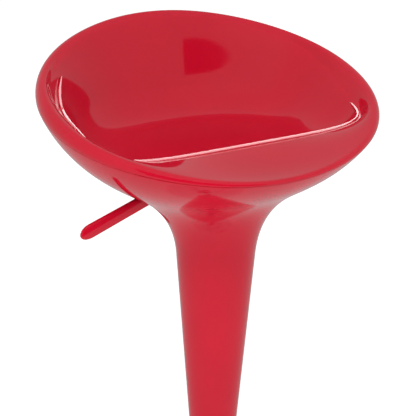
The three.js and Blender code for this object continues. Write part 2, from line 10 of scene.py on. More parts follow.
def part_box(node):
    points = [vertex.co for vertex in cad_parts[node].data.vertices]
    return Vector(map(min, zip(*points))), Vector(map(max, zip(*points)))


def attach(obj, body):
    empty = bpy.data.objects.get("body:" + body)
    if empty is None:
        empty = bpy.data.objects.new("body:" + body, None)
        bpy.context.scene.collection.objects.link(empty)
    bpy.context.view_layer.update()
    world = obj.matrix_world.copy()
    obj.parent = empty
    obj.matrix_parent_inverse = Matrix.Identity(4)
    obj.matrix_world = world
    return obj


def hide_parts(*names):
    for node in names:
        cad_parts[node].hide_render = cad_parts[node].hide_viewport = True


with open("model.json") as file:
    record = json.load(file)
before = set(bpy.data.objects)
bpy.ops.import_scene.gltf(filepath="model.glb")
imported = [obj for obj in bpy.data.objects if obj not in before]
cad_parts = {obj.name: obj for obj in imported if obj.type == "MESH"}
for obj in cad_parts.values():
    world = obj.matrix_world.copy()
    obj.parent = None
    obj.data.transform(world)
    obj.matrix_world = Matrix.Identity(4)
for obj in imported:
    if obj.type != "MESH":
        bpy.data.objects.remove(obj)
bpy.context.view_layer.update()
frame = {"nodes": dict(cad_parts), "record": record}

bl_info = {
    "name": "Adjustable swivel stool",
    "version": (1, 0, 0),
    "blender": (4, 5, 0),
    "location": "View3D > Sidebar > Stool",
    "description": "Builds the finished surfaces of a moulded swivel bar stool round its packed frame",
    "category": "Object",
}

MM = 0.001
TAU = 2 * math.pi
ROUND_STEPS = 4
SHARP_EDGE = math.radians(38)
FOOTREST_START_Z = 73
STAGE_REACH = 12
WHITE = (1, 1, 1, 1)
BLACK = (0, 0, 0, 1)


def length(name, millimetres, description):
    """A size property, given in millimetres and kept in metres."""
    return FloatProperty(
        name=name,
        description=description,
        default=millimetres * MM,
        unit="LENGTH",
        precision=4,
    )


def number(name, value, description):
    """A plain number property."""
    return FloatProperty(name=name, description=description, default=value, precision=4)


def degrees(name, value, description):
    """An angle property, given in degrees and kept in radians."""
    return FloatProperty(
        name=name, description=description, default=math.radians(value), subtype="ANGLE"
    )


def colour(name, value, description):
    """A linear colour property."""
    return FloatVectorProperty(
        name=name, description=description, default=value, size=3, subtype="COLOR", min=0, max=1
    )


SEAT_LOW, SEAT_HIGH = (np.array(corner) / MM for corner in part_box("seat_pan"))
TUBE_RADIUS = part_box("pressure_tube")[1][0] / MM
COLUMN_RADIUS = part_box("stand_tube")[1][0] / MM


class StoolSeatShape(bpy.types.PropertyGroup):
    """Sizes of the moulded seat: the rim, the ridge, the basin and the shell below."""

    rim_half_width: length("Rim half width", SEAT_HIGH[0], "Half the seat's width at the rim")
    rim_half_depth: length(
        "Rim half depth", (SEAT_HIGH[1] - SEAT_LOW[1]) / 2, "Half the seat's depth at the rim"
    )
    rim_centre_y: length("Rim centre", (SEAT_HIGH[1] + SEAT_LOW[1]) / 2, "Middle of the rim, front to back")
    rim_front_z: length("Rim front height", 757, "Height of the rim at the front")
    rim_rise: length("Rim rise", 100.7, "How much higher the rim is at the back")
    rim_squareness: number("Rim squareness", 2.06, "Superellipse power of the rim, 2 for an ellipse")
    roll_width_front: length("Front roll width", 5, "Width of the rolled edge at the front")
    roll_width_gain: length("Roll width gain", 8, "How much wider the rolled edge is at the back")
    roll_front: length("Roll height", 3.5, "Height of the rolled edge at the front")
    roll_gain: length("Roll gain", 19.5, "How much taller the rolled edge is at the back")
    ridge_half_width: length("Ridge half width", 191.5, "Half the distance between the ridge's sides")
    ridge_front_y: length("Ridge front", -79.8, "Where the ridge crosses in front")
    ridge_back_y: length("Ridge back", 184, "Where the ridge's line passes under the back of the rim")
    ridge_centre_y: length("Basin centre", 28, "Middle of the basin, front to back")
    ridge_front_power: number("Ridge front squareness", 5.3, "Superellipse power of the ridge in front")
    ridge_back_power: number("Ridge back squareness", 2.2, "Superellipse power of the ridge behind")
    ridge_rise: length("Ridge height", 16.4, "Ridge above the front rim")
    ridge_slope: number("Ridge slope", 0.217, "Rise of the ridge towards the back")
    ridge_lift: length("Ridge lift", 38, "Extra rise of the ridge's line at the back")
    ridge_lift_from: length("Ridge lift start", 60, "Where the extra rise begins")
    ridge_round_front: length("Ridge rounding", 3, "Reach of the rounding over the front ridge")
    ridge_sharp: degrees("Sharp ridge", 72, "Where the ridge starts to soften, from the front")
    ridge_soft: degrees("Soft ridge", 128, "Where the ridge is fully rounded")
    ridge_round_back: length("Back rounding", 26, "Reach of the rounding at the back")
    basin_depth: length("Basin depth", 15, "Basin floor below the front rim")
    basin_power: number("Basin power", 6.5, "Power of the basin's curve from its centre to the ridge")
    pan_wall: length("Pan wall", 4, "Thickness of the seat pan")
    neck_radius: length("Neck radius", 52.8, "Radius where the flare runs into the trunk")
    neck_drop: length("Neck drop", 158.7, "Neck below the front rim")
    trunk_taper: number("Trunk taper", 0.078, "Radius gained for each unit of height")
    trunk_end_z: length("Trunk end", 300, "Height of the trunk's lower end")
    flare_neck: length("Flare neck handle", 110, "Length of the flare's curve handle at the neck")
    flare_rim: number("Flare rim handle", 0.678, "Rim handle as a share of the flare's width")
    flare_slope: degrees("Flare slope", 50.7, "Slope of the flare at the front rim")
    flare_slope_gain: degrees("Flare slope gain", 26.3, "How much steeper the flare is at the back rim")
    shell_wall: length("Shell wall", 3, "Thickness of the lower shell")
    seam: length("Seam", 0.4, "Gap between the pan and the lower shell")
    slot_width: length("Slot width", 13, "Width of the lever's slot")
    slot_inner_x: length("Slot inner end", -70, "Inner end of the lever's slot")
    slot_outer_x: length("Slot outer end", -156.5, "Outer end of the lever's slot")
    edge_round: length("Edge rounding", 0.8, "Rounding of the shells' edges")
    bead_radius: length("Bead radius", 3.3, "Radius of the bead round the basin")
    bead_lift: length("Bead lift", -0.6, "Height of the bead's middle over the ridge's line")
    bead_left: degrees("Bead's left end", 119, "How far the bead reaches round the lever's side")
    bead_right: degrees("Bead's right end", 75, "How far the bead reaches round the other side")
    bead_taper: number("Bead taper", 8, "How soon the bead reaches its full size")


class StoolLeverShape(bpy.types.PropertyGroup):
    """Sizes of the release lever's handle."""

    slope: number("Slope", 0.35, "Fall of the handle for each unit outwards")
    line_x: length("Line place", -107, "A place on the handle's middle line")
    line_z: length("Line height", 691.5, "The middle line's height there")
    inner_x: length("Inner end", -88, "Where the handle starts inside the shell")
    tip_x: length("Tip", -197, "Where the handle ends")
    height: length("Height", 18, "Height of the handle's section")
    thickness: length("Thickness", 8.5, "Thickness of the handle's section")
    blade_end_x: length("Blade end", -150, "How far the steel blade reaches into the handle")
    blade_thickness: length("Blade thickness", 3, "Thickness of the steel blade")
    blade_height: length("Blade height", 9, "Height of the steel blade")
    tip_length: length("Tip length", 15, "Length over which the tip closes")
    tip_gain: number("Tip gain", 1.1, "How much taller the section is at the tip")
    tip_droop: length("Tip droop", 1.2, "How far the tip sags below the middle line")
    arris: number("Arris", 1.15, "Power of the section's sides, above 1 for a ridge along them")
    edge_round: length("Edge rounding", 1.2, "Rounding of the inner end")


class StoolColumnShape(bpy.types.PropertyGroup):
    """Sizes of the column, the gas lift, the base and the footrest."""

    column_radius: length("Column radius", COLUMN_RADIUS, "Outer radius of the stand tube")
    column_wall: length("Column wall", 2, "Wall of the stand tube")
    tube_radius: length("Gas tube radius", TUBE_RADIUS, "Outer radius of the pressure tube")
    tube_wall: length("Gas tube wall", 1.5, "Wall of the pressure tube")
    rod_radius: length("Rod radius", 5, "Radius of the piston rod")
    collar_radius: length("Collar radius", 33, "Outer radius of the footrest collar")
    footrest_radius: length("Footrest tube", 10, "Radius of the footrest's tube")
    gap: length("Gap", 0.3, "Clearance between pieces that touch")


class StoolFinish(bpy.types.PropertyGroup):
    """Colours of the finishes."""

    red: colour("Seat red", (0.53, 0.004, 0.022), "Moulded gloss plastic")
    chrome: colour("Chrome", (0.80, 0.81, 0.83), "Chrome plate")
    zinc: colour("Zinc", (0.55, 0.56, 0.56), "Zinc plated and ground steel")
    coat: colour("Powder coat", (0.018, 0.018, 0.02), "Black powder coat")
    nylon: colour("Nylon", (0.022, 0.022, 0.023), "Black moulded nylon")
    rubber: colour("Rubber", (0.015, 0.015, 0.015), "Black rubber")


class StoolStudio(bpy.types.PropertyGroup):
    """The camera and the light of the stage."""

    azimuth: degrees("Azimuth", -30.96, "Camera's way round the stool, 0 in front")
    elevation: degrees("Elevation", 21.9, "Camera's height above the horizon")
    distance: length("Distance", 1800, "From the camera to its target on the axis")
    target_z: length("Target height", 660.9, "Height of the target on the axis")
    aim_left: length("Aim", 11.1, "How far left of the target the camera aims")
    roll: degrees("Roll", 0.86, "Camera's tilt to the left")
    lens: number("Lens", 118.45, "Focal length in millimetres on a 36 mm frame")
    fill: number("Fill", 0.52, "Brightness of the white studio all round")
    front_power: number("Front power", 54, "Power of the soft light on the sitter's side, in watts")
    top_power: number("Top power", 5, "Power of the light overhead, in watts")
    bead_glow: number("Bead glow", 24, "Power of each square metre of the lights for the bead, in watts")
    floor_glow: number("Floor glow", 0.54, "How much the floor is lit from within")
    card_away: length("Card distance", 1700, "How far the dark card stands from the axis")
    card_low: length("Card foot", 100, "Height of the dark card's lower edge")
    card_height: length("Card height", 1400, "Height of the dark card")
    card_left: degrees("Card's left turn", 24, "How far the dark card reaches to the camera's left")
    card_right: degrees("Card's right turn", 47, "How far the dark card reaches to the camera's right")
    columns: IntProperty(name="Fineness", description="Columns round the seat", default=288)


def settings():
    """The stool's property groups, kept on the scene."""
    return bpy.context.scene.stool


class StoolSettings(bpy.types.PropertyGroup):
    """All of the stool's settings."""

    seat: PointerProperty(type=StoolSeatShape, name="Seat", description="The moulded seat")
    lever: PointerProperty(type=StoolLeverShape, name="Lever", description="The release lever")
    column: PointerProperty(type=StoolColumnShape, name="Column", description="Column and base")
    finish: PointerProperty(type=StoolFinish, name="Finish", description="Colours")
    studio: PointerProperty(type=StoolStudio, name="Studio", description="Camera and lights")


# ---- surfaces on grids ----


def smooth(x):
    """Smooth step: 3x^2 - 2x^3 of x held between 0 and 1."""
    t = np.clip(x, 0, 1)
    return t * t * (3 - 2 * t)


def mix(a, b, t):
    """a + (b - a) t."""
    return a + (b - a) * t


def join_points(x, y, z):
    """Three arrays of one shape made into one array of points."""
    return np.stack(np.broadcast_arrays(x, y, z), axis=-1).astype(float)


def unit(vectors):
    """Vectors divided by their lengths."""
    return vectors / np.maximum(np.linalg.norm(vectors, axis=-1, keepdims=True), 1e-12)


def cubic(a, b, c, d, t):
    """Cubic Bezier curves: (1-t)^3 a + 3(1-t)^2 t b + 3(1-t) t^2 c + t^3 d, for rows t of columns a to d."""
    t = np.asarray(t)[:, None, None]
    s = 1 - t
    return s**3 * a + 3 * s**2 * t * b + 3 * s * t**2 * c + t**3 * d


def normals_of(rings):
    """Unit normals of a grid of points: the cross product of its row and column differences."""
    round_way = np.roll(rings, -1, axis=1) - np.roll(rings, 1, axis=1)
    across = np.gradient(rings, axis=0)
    return unit(np.cross(across, round_way))


def ring_quads(rows, columns, closed):
    """Corner numbers of the quads between rings; with closed, the last ring also meets the first."""
    count = rows if closed else rows - 1
    row = np.arange(count)[:, None]
    column = np.arange(columns)[None, :]
    below = (row + 1) % rows
    beside = (column + 1) % columns
    quads = [row * columns + column, below * columns + column]
    quads += [below * columns + beside, row * columns + beside]
    return np.stack(np.broadcast_arrays(*quads), axis=-1).reshape(-1, 4)


def enclosed(mesh):
    """The volume a closed mesh holds: the sum of a . (b x c) / 6 over its triangles, positive if outward."""
    mesh.calc_loop_triangles()
    corners = np.empty(3 * len(mesh.loop_triangles), np.int32)
    mesh.loop_triangles.foreach_get("vertices", corners)
    points = np.empty(3 * len(mesh.vertices))
    mesh.vertices.foreach_get("co", points)
    a, b, c = points.reshape(-1, 3)[corners.reshape(-1, 3)].transpose(1, 0, 2)
    return (a * np.cross(b, c)).sum() / 6


def mesh_from_rings(name, rings, poles=None):
    """A closed mesh over a grid of rings. Rings that run down or outwards over it face outwards.

    With poles, a point closes each end; without, the last ring joins the first."""
    rows, columns = rings.shape[:2]
    points = rings.reshape(-1, 3)
    quads = ring_quads(rows, columns, poles is None)
    corners = quads.reshape(-1)
    sizes = np.full(len(quads), 4)
    if poles is not None:
        points = np.concatenate([points, np.array(poles, float)])
        start, end = rows * columns, rows * columns + 1
        here = np.arange(columns)
        beside = (here + 1) % columns
        last = (rows - 1) * columns
        first_fan = np.stack([np.full(columns, start), here, beside], axis=-1)
        last_fan = np.stack([np.full(columns, end), last + beside, last + here], axis=-1)
        corners = np.concatenate([corners, first_fan.reshape(-1), last_fan.reshape(-1)])
        sizes = np.concatenate([sizes, np.full(2 * columns, 3)])
    mesh = bpy.data.meshes.new(name)
    mesh.vertices.add(len(points))
    mesh.vertices.foreach_set("co", points.reshape(-1))
    mesh.loops.add(len(corners))
    mesh.loops.foreach_set("vertex_index", corners)
    mesh.polygons.add(len(sizes))
    mesh.polygons.foreach_set("loop_start", np.concatenate([[0], np.cumsum(sizes)[:-1]]))
    mesh.update(calc_edges=True)
    mesh.validate()
    mesh.polygons.foreach_set("use_smooth", np.ones(len(mesh.polygons), bool))
    if enclosed(mesh) < 0:
        mesh.flip_normals()
    return mesh


def new_object(name, data):
    """A new object of the scene, which shows the given mesh, light or camera."""
    made = bpy.data.objects.new(name, data)
    bpy.context.scene.collection.objects.link(made)
    return made


def add_piece(name, mesh, body, slot, replaced=(), finish=None):
    """Puts a mesh into the scene as a piece that rides on a body and stands for CAD nodes."""
    piece = new_object(name, mesh)
    mesh.materials.append(finish_of(finish or slot))
    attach(piece, body)
    if replaced:
        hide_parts(*replaced)
    return piece


def rounded(corners, closed=True):
    """A radius-height outline with its corners rounded.

    Each corner is (radius, height, rounding). A rounded corner is a quadratic Bezier curve between the
    points at the rounding's distance along its two sides, with one more point just outside each."""
    places = np.array([corner[:2] for corner in corners], float)
    outline = []
    for i, (r, z, rounding) in enumerate(corners):
        at_end = not closed and i in (0, len(corners) - 1)
        if at_end or rounding <= 0:
            outline.append(np.array([[r, z]], float))
            continue
        here = places[i]
        sides = [places[i - 1] - here, places[(i + 1) % len(places)] - here]
        reach = [min(rounding, 0.4 * np.linalg.norm(side)) for side in sides]
        before, after = (here + unit(side) * far for side, far in zip(sides, reach))
        margins = [here + unit(side) * far * 1.2 for side, far in zip(sides, reach)]
        t = np.linspace(0, 1, ROUND_STEPS)[:, None]
        curve = (1 - t) ** 2 * before + 2 * (1 - t) * t * here + t**2 * after
        outline.append(np.concatenate([margins[:1], curve, margins[1:]]))
    return np.concatenate(outline)


def turned(outline, columns):
    """Rings of a solid of revolution: each outline point (r, z) goes to (r sin a, -r cos a, z)."""
    angle = np.linspace(0, TAU, columns, endpoint=False)
    radius, height = outline[:, :1], outline[:, 1:]
    return join_points(radius * np.sin(angle), -radius * np.cos(angle), height)


def turned_mesh(name, outline, columns=96):
    """A turned mesh from an outline in metres, which goes down outside and comes up inside.

    An outline that starts and ends on the axis is closed by its two poles."""
    if outline[0, 0] > 0:
        return mesh_from_rings(name, turned(outline, columns))
    poles = [(0, 0, outline[0, 1]), (0, 0, outline[-1, 1])]
    return mesh_from_rings(name, turned(outline[1:-1], columns), poles)


def add_turned(name, node, corners, slot, finish=None, columns=96):
    """A turned piece that stands for a CAD node, from rounded corners in millimetres."""
    outline = rounded(corners, closed=corners[0][0] > 0) * MM
    mesh = turned_mesh(name + "_surface", outline, columns)
    return add_piece(name, mesh, body_of(node), slot, [node], finish)


def body_of(node):
    """The body that a CAD node rides on."""
    bodies = frame["record"]["behaviour"]["bodies"]
    return next(body for body, nodes in bodies.items() if node in nodes)


def extent(node):
    """A round CAD node's outer radius, its bottom and its top, in millimetres."""
    low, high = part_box(node)
    return (high[0] - low[0]) / 2 / MM, low[2] / MM, high[2] / MM


def add_ring(name, node, bore, slot, edge=0.5, finish=None, columns=96):
    """A plain ring with rounded edges: the CAD node's outer radius and heights, and the given bore."""
    outer, bottom, top = extent(node)
    corners = [(outer, top, edge), (outer, bottom, edge), (bore, bottom, edge), (bore, top, edge)]
    return add_turned(name, node, corners, slot, finish, columns)


def spline(points, steps):
    """A smooth curve through points: centripetal Catmull-Rom, steps to each stretch.

    Knots lie apart by the root of the distance. Each stretch is a cubic Bezier curve whose handles are a
    third of the stretch along the tangents that the knots give."""
    points = np.array(points, float)
    ends = [2 * points[0] - points[1], 2 * points[-1] - points[-2]]
    whole = np.concatenate([ends[:1], points, ends[1:]])
    gap = np.sqrt(np.linalg.norm(np.diff(whole, axis=0), axis=1))[:, None]
    step = np.diff(whole, axis=0)
    before, here = gap[:-1], gap[1:]
    tangent = step[:-1] / before - (step[:-1] + step[1:]) / (before + here) + step[1:] / here
    span = gap[1:-1]
    a, d = points[:-1], points[1:]
    b = a + tangent[:-1] * span / 3
    c = d - tangent[1:] * span / 3
    t = np.linspace(0, 1, steps, endpoint=False)
    curve = cubic(a, b, c, d, t).transpose(1, 0, 2).reshape(-1, points.shape[1])
    return np.concatenate([curve, points[-1:]])


# ---- the seat's curves ----


def backness(angle):
    """0 at the front, 1 at the back: (1 - cos a) / 2."""
    return (1 - np.cos(angle)) / 2


def outward(angle):
    """The level way out from the axis: (sin a, -cos a, 0)."""
    return join_points(np.sin(angle), -np.cos(angle), 0 * angle)


def superellipse(angle, half_width, half_depth, power):
    """Polar radius of |x/w|^p + |y/d|^p = 1."""
    side = (np.abs(np.sin(angle)) / half_width) ** power
    end = (np.abs(np.cos(angle)) / half_depth) ** power
    return (side + end) ** (-1 / power)


def rim(shape, angle):
    """The rim: a superellipse about its centre, in a plane that rises as (1 - cos a) / 2."""
    reach = superellipse(angle, shape.rim_half_width, shape.rim_half_depth, shape.rim_squareness)
    points = outward(angle) * reach[:, None]
    points[:, 1] += shape.rim_centre_y
    points[:, 2] = shape.rim_front_z + shape.rim_rise * backness(angle)
    return points


def ridge(shape, angle):
    """The ridge: two half superellipses about the basin's centre, that rise in a line to the back.

    Behind, a smooth step lifts the line further, up to the inner side of the rolled edge."""
    front = np.cos(angle) > 0
    ahead = shape.ridge_centre_y - shape.ridge_front_y
    behind = shape.ridge_back_y - shape.ridge_centre_y
    reach = np.where(
        front,
        superellipse(angle, shape.ridge_half_width, ahead, shape.ridge_front_power),
        superellipse(angle, shape.ridge_half_width, behind, shape.ridge_back_power),
    )
    points = outward(angle) * reach[:, None]
    points[:, 1] += shape.ridge_centre_y
    y = points[:, 1]
    lift = smooth((y - shape.ridge_lift_from) / (shape.ridge_back_y - shape.ridge_lift_from))
    rise = shape.ridge_rise + shape.ridge_slope * (y - shape.ridge_front_y) + shape.ridge_lift * lift
    points[:, 2] = shape.rim_front_z + rise
    return points


def roll_height(shape, angle):
    """Height of the rolled edge, from front to back."""
    return shape.roll_front + shape.roll_gain * backness(angle)


def roll_width(shape, angle):
    """Width of the rolled edge, from front to back."""
    return shape.roll_width_front + shape.roll_width_gain * backness(angle)


def rim_slope(shape, angle):
    """Slope of the flare where it meets the rolled edge."""
    return shape.flare_slope + shape.flare_slope_gain * backness(angle)


def roll(shape, angle, turn):
    """The rolled edge: the rim plus an upright ellipse, width (cos t - 1) outwards and height sin t up."""
    across = roll_width(shape, angle) * (np.cos(turn) - 1)
    points = rim(shape, angle) + outward(angle) * across[:, None]
    points[:, 2] += roll_height(shape, angle) * np.sin(turn)
    return points


def roll_end(shape, angle):
    """The ellipse's parameter where its tangent is the flare's slope."""
    width = roll_width(shape, angle) * np.tan(rim_slope(shape, angle))
    return -np.arctan(roll_height(shape, angle) / width)


def pan_upper(shape, angle):
    """Rings of the seat pan's upper face, from beside the basin's centre out to the seam.

    The basin is depth s^p over the ray from its centre to the ridge. A cubic Bezier curve rounds the
    ridge, another carries the land to the crest of the rolled edge, and the roll goes down to the seam."""
    top = ridge(shape, angle)
    floor = shape.rim_front_z - shape.basin_depth
    centre = np.array([0, shape.ridge_centre_y, floor])
    flat = top - centre
    depth = flat[:, 2].copy()
    flat[:, 2] = 0
    power = shape.basin_power
    reach = np.linalg.norm(flat, axis=-1)

    def basin(s):
        points = centre + flat * s[..., None]
        points[..., 2] = floor + depth * s**power
        return points

    crest = roll(shape, angle, np.pi / 2)
    land = crest - top
    land_length = np.linalg.norm(land, axis=-1)
    land_way = unit(land)
    aside = np.abs(np.mod(angle + np.pi, TAU) - np.pi)
    softness = smooth((aside - shape.ridge_sharp) / (shape.ridge_soft - shape.ridge_sharp))
    rounding = mix(shape.ridge_round_front, shape.ridge_round_back, softness)
    round_in = 1 - rounding / reach
    round_out = np.minimum(rounding, 0.55 * land_length)
    start = basin(round_in)
    start_way = flat.copy()
    start_way[:, 2] = depth * power * round_in ** (power - 1)
    start_way = unit(start_way)
    end = top + land_way * round_out[:, None]
    rest = ((land_length - round_out) / 3)[:, None]

    shares = 1 - np.linspace(1, 0, 46)[:-1, None] ** 1.25
    basin_rings = basin(shares[1:] * round_in)
    over_ridge = cubic(
        start,
        start + start_way * 0.7 * rounding[:, None],
        end - land_way * 0.7 * round_out[:, None],
        end,
        np.linspace(0, 1, 17)[:-1],
    )
    over_land = cubic(
        end, end + land_way * rest, crest - outward(angle) * rest, crest, np.linspace(0, 1, 21)[:-1]
    )
    turns = np.linspace(np.pi / 2, 0, 17)[:-1]
    over_crest = np.stack([roll(shape, angle, turn) for turn in turns])
    under = np.stack([roll(shape, angle, share * roll_end(shape, angle)) for share in np.linspace(0, 1, 7)])
    return np.concatenate([basin_rings, over_ridge, over_land, over_crest, under])


def shell_outer(shape, angle):
    """Rings of the lower shell's outer face, from the seam down to the trunk's end.

    The flare is a cubic Bezier curve from the seam, along the rim's slope, to the neck, along the trunk's
    taper. The trunk is a cone."""
    way = outward(angle)
    neck_z = shape.rim_front_z - shape.neck_drop

    def trunk(z):
        points = way * (shape.neck_radius - shape.trunk_taper * (neck_z - z))
        points[:, 2] = z
        return points

    neck = trunk(neck_z)
    seam = roll(shape, angle, roll_end(shape, angle))
    span = seam - neck
    span[:, 2] = 0
    width = np.linalg.norm(span, axis=-1, keepdims=True)
    across = span / width
    slope = rim_slope(shape, angle)
    rise = across * np.cos(slope)[:, None]
    rise[:, 2] = np.sin(slope)
    top = seam - rise * shape.seam
    up = across * shape.trunk_taper
    up[:, 2] = 1
    flare = cubic(
        top,
        top - rise * shape.flare_rim * width,
        neck + up * shape.flare_neck,
        neck,
        np.linspace(0, 1, 81),
    )
    cone = np.stack([trunk(z) for z in np.linspace(neck_z, shape.trunk_end_z, 41)[1:]])
    return np.concatenate([flare, cone])


def edge_rings(face, rounding, first):
    """Rings that turn a quarter circle from the end of a face, over its rounded edge, to face along it."""
    normal = normals_of(face)
    end, before = (0, 1) if first else (-1, -2)
    tangent = unit(face[end] - face[before])
    centre = face[end] - (tangent + normal[end]) * rounding
    turns = np.linspace(0, np.pi / 2, 5)[:, None, None]
    return centre + rounding * (normal[end] * np.cos(turns) + tangent * np.sin(turns))


# ---- shader maths ----


class Signal:
    """A shader value: a node's output that takes part in sums."""

    def __init__(self, finish, socket):
        self.finish = finish
        self.socket = socket

    def __add__(self, other):
        return self.finish.node("Math", {"operation": "ADD"}, {0: self, 1: other})

    __radd__ = __add__


class Finish:
    """A material under construction."""

    def __init__(self, name):
        self.material = bpy.data.materials.new(name)
        self.material.use_nodes = True
        self.tree = self.material.node_tree
        self.tree.nodes.clear()
        self.place = self.node("TexCoord", output="Object")

    def node(self, kind, options=None, inputs=None, output=0):
        """Adds a node, sets its options and then its sockets, and returns one of its outputs."""
        made = self.tree.nodes.new("ShaderNode" + kind)
        for key, value in (options or {}).items():
            setattr(made, key, value)
        for key, value in (inputs or {}).items():
            if isinstance(value, Signal):
                self.tree.links.new(value.socket, made.inputs[key])
            else:
                made.inputs[key].default_value = value
        return None if output is None else Signal(self, made.outputs[output])

    def stretched(self, scale):
        """Object coordinates multiplied along each axis."""
        return self.node("Mapping", {}, {"Vector": self.place, "Scale": scale})

    def noise(self, scale, detail, place=None, distortion=0.0):
        """Fractal noise of about scale features to the metre."""
        inputs = {"Vector": place or self.place, "Scale": scale, "Detail": detail, "Roughness": 0.55}
        return self.node("TexNoise", {}, inputs | {"Distortion": distortion})

    def stretch(self, value, low, high, to_low=0.0, to_high=1.0):
        """value moved from between low and high to between to_low and to_high, and held there."""
        inputs = {0: value, 1: low, 2: high, 3: to_low, 4: to_high}
        return self.node("MapRange", {"clamp": True}, inputs)

    def blend(self, factor, first, second):
        """The colour between first and second."""
        options = {"data_type": "RGBA"}
        return self.node("Mix", options, {0: factor, 6: first, 7: second}, output=2)

    def bump(self, height, distance, strength=1.0, under=None):
        """A normal bent by height, which is worth distance metres."""
        inputs = {"Height": height, "Distance": distance, "Strength": strength}
        if under is not None:
            inputs["Normal"] = under
        return self.node("Bump", {}, inputs)

    def surface(self, **inputs):
        """Ends the material with a Principled shader whose sockets are named by the arguments."""
        named = {key.replace("_", " ").title(): value for key, value in inputs.items()}
        if "Ior" in named:
            named["IOR"] = named.pop("Ior")
        shader = self.node("BsdfPrincipled", {}, named)
        self.node("OutputMaterial", {}, {"Surface": shader}, output=None)
        return self.material


def shade(colour_value, factor):
    """A colour multiplied by a number, with alpha 1."""
    return (*[min(1.0, channel * factor) for channel in colour_value], 1.0)


# ---- finishes ----


def red_gloss(finish):
    """Moulded gloss plastic: even pigment, a faint mould ripple under the gloss and wiped-on hairlines."""
    work = Finish("red_gloss")
    cloud = work.noise(7, detail=2)
    deep = shade(finish.red, 0.93)
    colour_now = work.blend(work.stretch(cloud, 0.35, 0.65), deep, shade(finish.red, 1))
    hairlines = work.noise(900, detail=2, place=work.stretched((1, 0.04, 0.3)))
    haze = work.noise(18, detail=4)
    rough = work.stretch(haze, 0.3, 0.7, 0.045, 0.075) + work.stretch(hairlines, 0.62, 0.8, 0, 0.03)
    ripple = work.noise(28, detail=1)
    peel = work.noise(420, detail=1)
    relief = work.bump(ripple, 0.00006, 0.35, under=work.bump(peel, 0.0000016, 0.5))
    return work.surface(base_color=colour_now, roughness=rough, normal=relief, ior=1.5)


def chrome_plate(finish):
    """Chrome plate: bright, with a faint orange peel, wiping hairlines and duller spots."""
    work = Finish("chrome_plate")
    cloud = work.noise(11, detail=3)
    dull, bright = shade(finish.chrome, 0.94), shade(finish.chrome, 1)
    colour_now = work.blend(work.stretch(cloud, 0.3, 0.7), dull, bright)
    hairlines = work.noise(700, detail=2, place=work.stretched((1, 0.06, 0.5)))
    spots = work.noise(160, detail=2)
    rough = work.stretch(cloud, 0.35, 0.7, 0.05, 0.09) + work.stretch(hairlines, 0.6, 0.8, 0, 0.07)
    rough = rough + work.stretch(spots, 0.68, 0.76, 0, 0.08)
    relief = work.bump(work.noise(60, detail=1), 0.00003, 0.3)
    return work.surface(base_color=colour_now, metallic=1.0, roughness=rough, normal=relief)


def zinc_steel(finish):
    """Zinc plate: a mottled, slightly iridescent grey with drawing marks."""
    work = Finish("zinc_steel")
    mottle = work.noise(240, detail=3)
    tint = work.noise(60, detail=2)
    base = work.blend(work.stretch(mottle, 0.3, 0.7), shade(finish.zinc, 0.8), shade(finish.zinc, 1.05))
    warm = (finish.zinc[0] * 1.02, finish.zinc[1] * 0.98, finish.zinc[2] * 0.84, 1)
    colour_now = work.blend(work.stretch(tint, 0.5, 0.7, 0, 0.7), base, warm)
    marks = work.noise(1500, detail=2, place=work.stretched((1, 1, 0.03)))
    rough = work.stretch(mottle, 0.3, 0.7, 0.26, 0.42) + work.stretch(marks, 0.5, 0.8, 0, 0.1)
    relief = work.bump(marks, 0.00002, 0.5)
    return work.surface(base_color=colour_now, metallic=1.0, roughness=rough, normal=relief)


def ground_steel(finish):
    """Ground rod: bright steel with very fine rings round it."""
    work = Finish("ground_steel")
    rings = work.noise(4000, detail=1, place=work.stretched((0.02, 0.02, 1)))
    cloud = work.noise(30, detail=2)
    colour_now = work.blend(cloud, shade(finish.zinc, 1.0), shade(finish.zinc, 1.2))
    rough = work.stretch(rings, 0.4, 0.7, 0.12, 0.22)
    relief = work.bump(rings, 0.000004, 0.5)
    return work.surface(base_color=colour_now, metallic=1.0, roughness=rough, normal=relief)


def dull_finish(name, patches, between, colours, rough, relief):
    """A dull finish: a noise in patches blends two colours and two roughnesses, over a fine relief."""
    work = Finish(name)
    cloud = patches(work)
    colour_now = work.blend(work.stretch(cloud, *between), *colours)
    scale, distance, strength = relief
    grain = work.bump(work.noise(scale, detail=2), distance, strength)
    rough_now = work.stretch(cloud, 0.3, 0.7, *rough)
    return work.surface(base_color=colour_now, roughness=rough_now, normal=grain)


def powder_coat(finish):
    """Black powder coat: millimetre orange peel, greyer where it has been rubbed."""
    colours = shade(finish.coat, 1), shade(finish.coat, 1.7)
    relief = (900, 0.00008, 0.6)

    def rubbed(work):
        return work.noise(35, detail=4)

    return dull_finish("powder_coat", rubbed, (0.45, 0.75), colours, (0.38, 0.52), relief)


def moulded_nylon(finish):
    """Black nylon: a fine spark-eroded grain with greyer scuffs."""
    colours = shade(finish.nylon, 1), shade(finish.nylon, 2.2)
    relief = (2600, 0.00004, 0.5)

    def scuffs(work):
        return work.noise(90, detail=4, distortion=0.4)

    return dull_finish("moulded_nylon", scuffs, (0.55, 0.75), colours, (0.42, 0.6), relief)


def black_rubber(finish):
    """Rubber: dull, dusty in patches and finely stippled."""
    colours = shade(finish.rubber, 1), (0.06, 0.058, 0.054, 1)
    relief = (1800, 0.00006, 0.6)

    def dust(work):
        return work.noise(45, detail=5)

    return dull_finish("black_rubber", dust, (0.5, 0.8, 0, 0.6), colours, (0.72, 0.9), relief)


def weld_metal(finish):
    """A plated weld bead: rough ripples under chrome."""
    work = Finish("weld_metal")
    ripple = work.noise(500, detail=3)
    colour_now = work.blend(ripple, shade(finish.chrome, 0.7), shade(finish.chrome, 0.95))
    rough = work.stretch(ripple, 0.3, 0.7, 0.14, 0.3)
    relief = work.bump(ripple, 0.0001, 0.6)
    return work.surface(base_color=colour_now, metallic=1.0, roughness=rough, normal=relief)


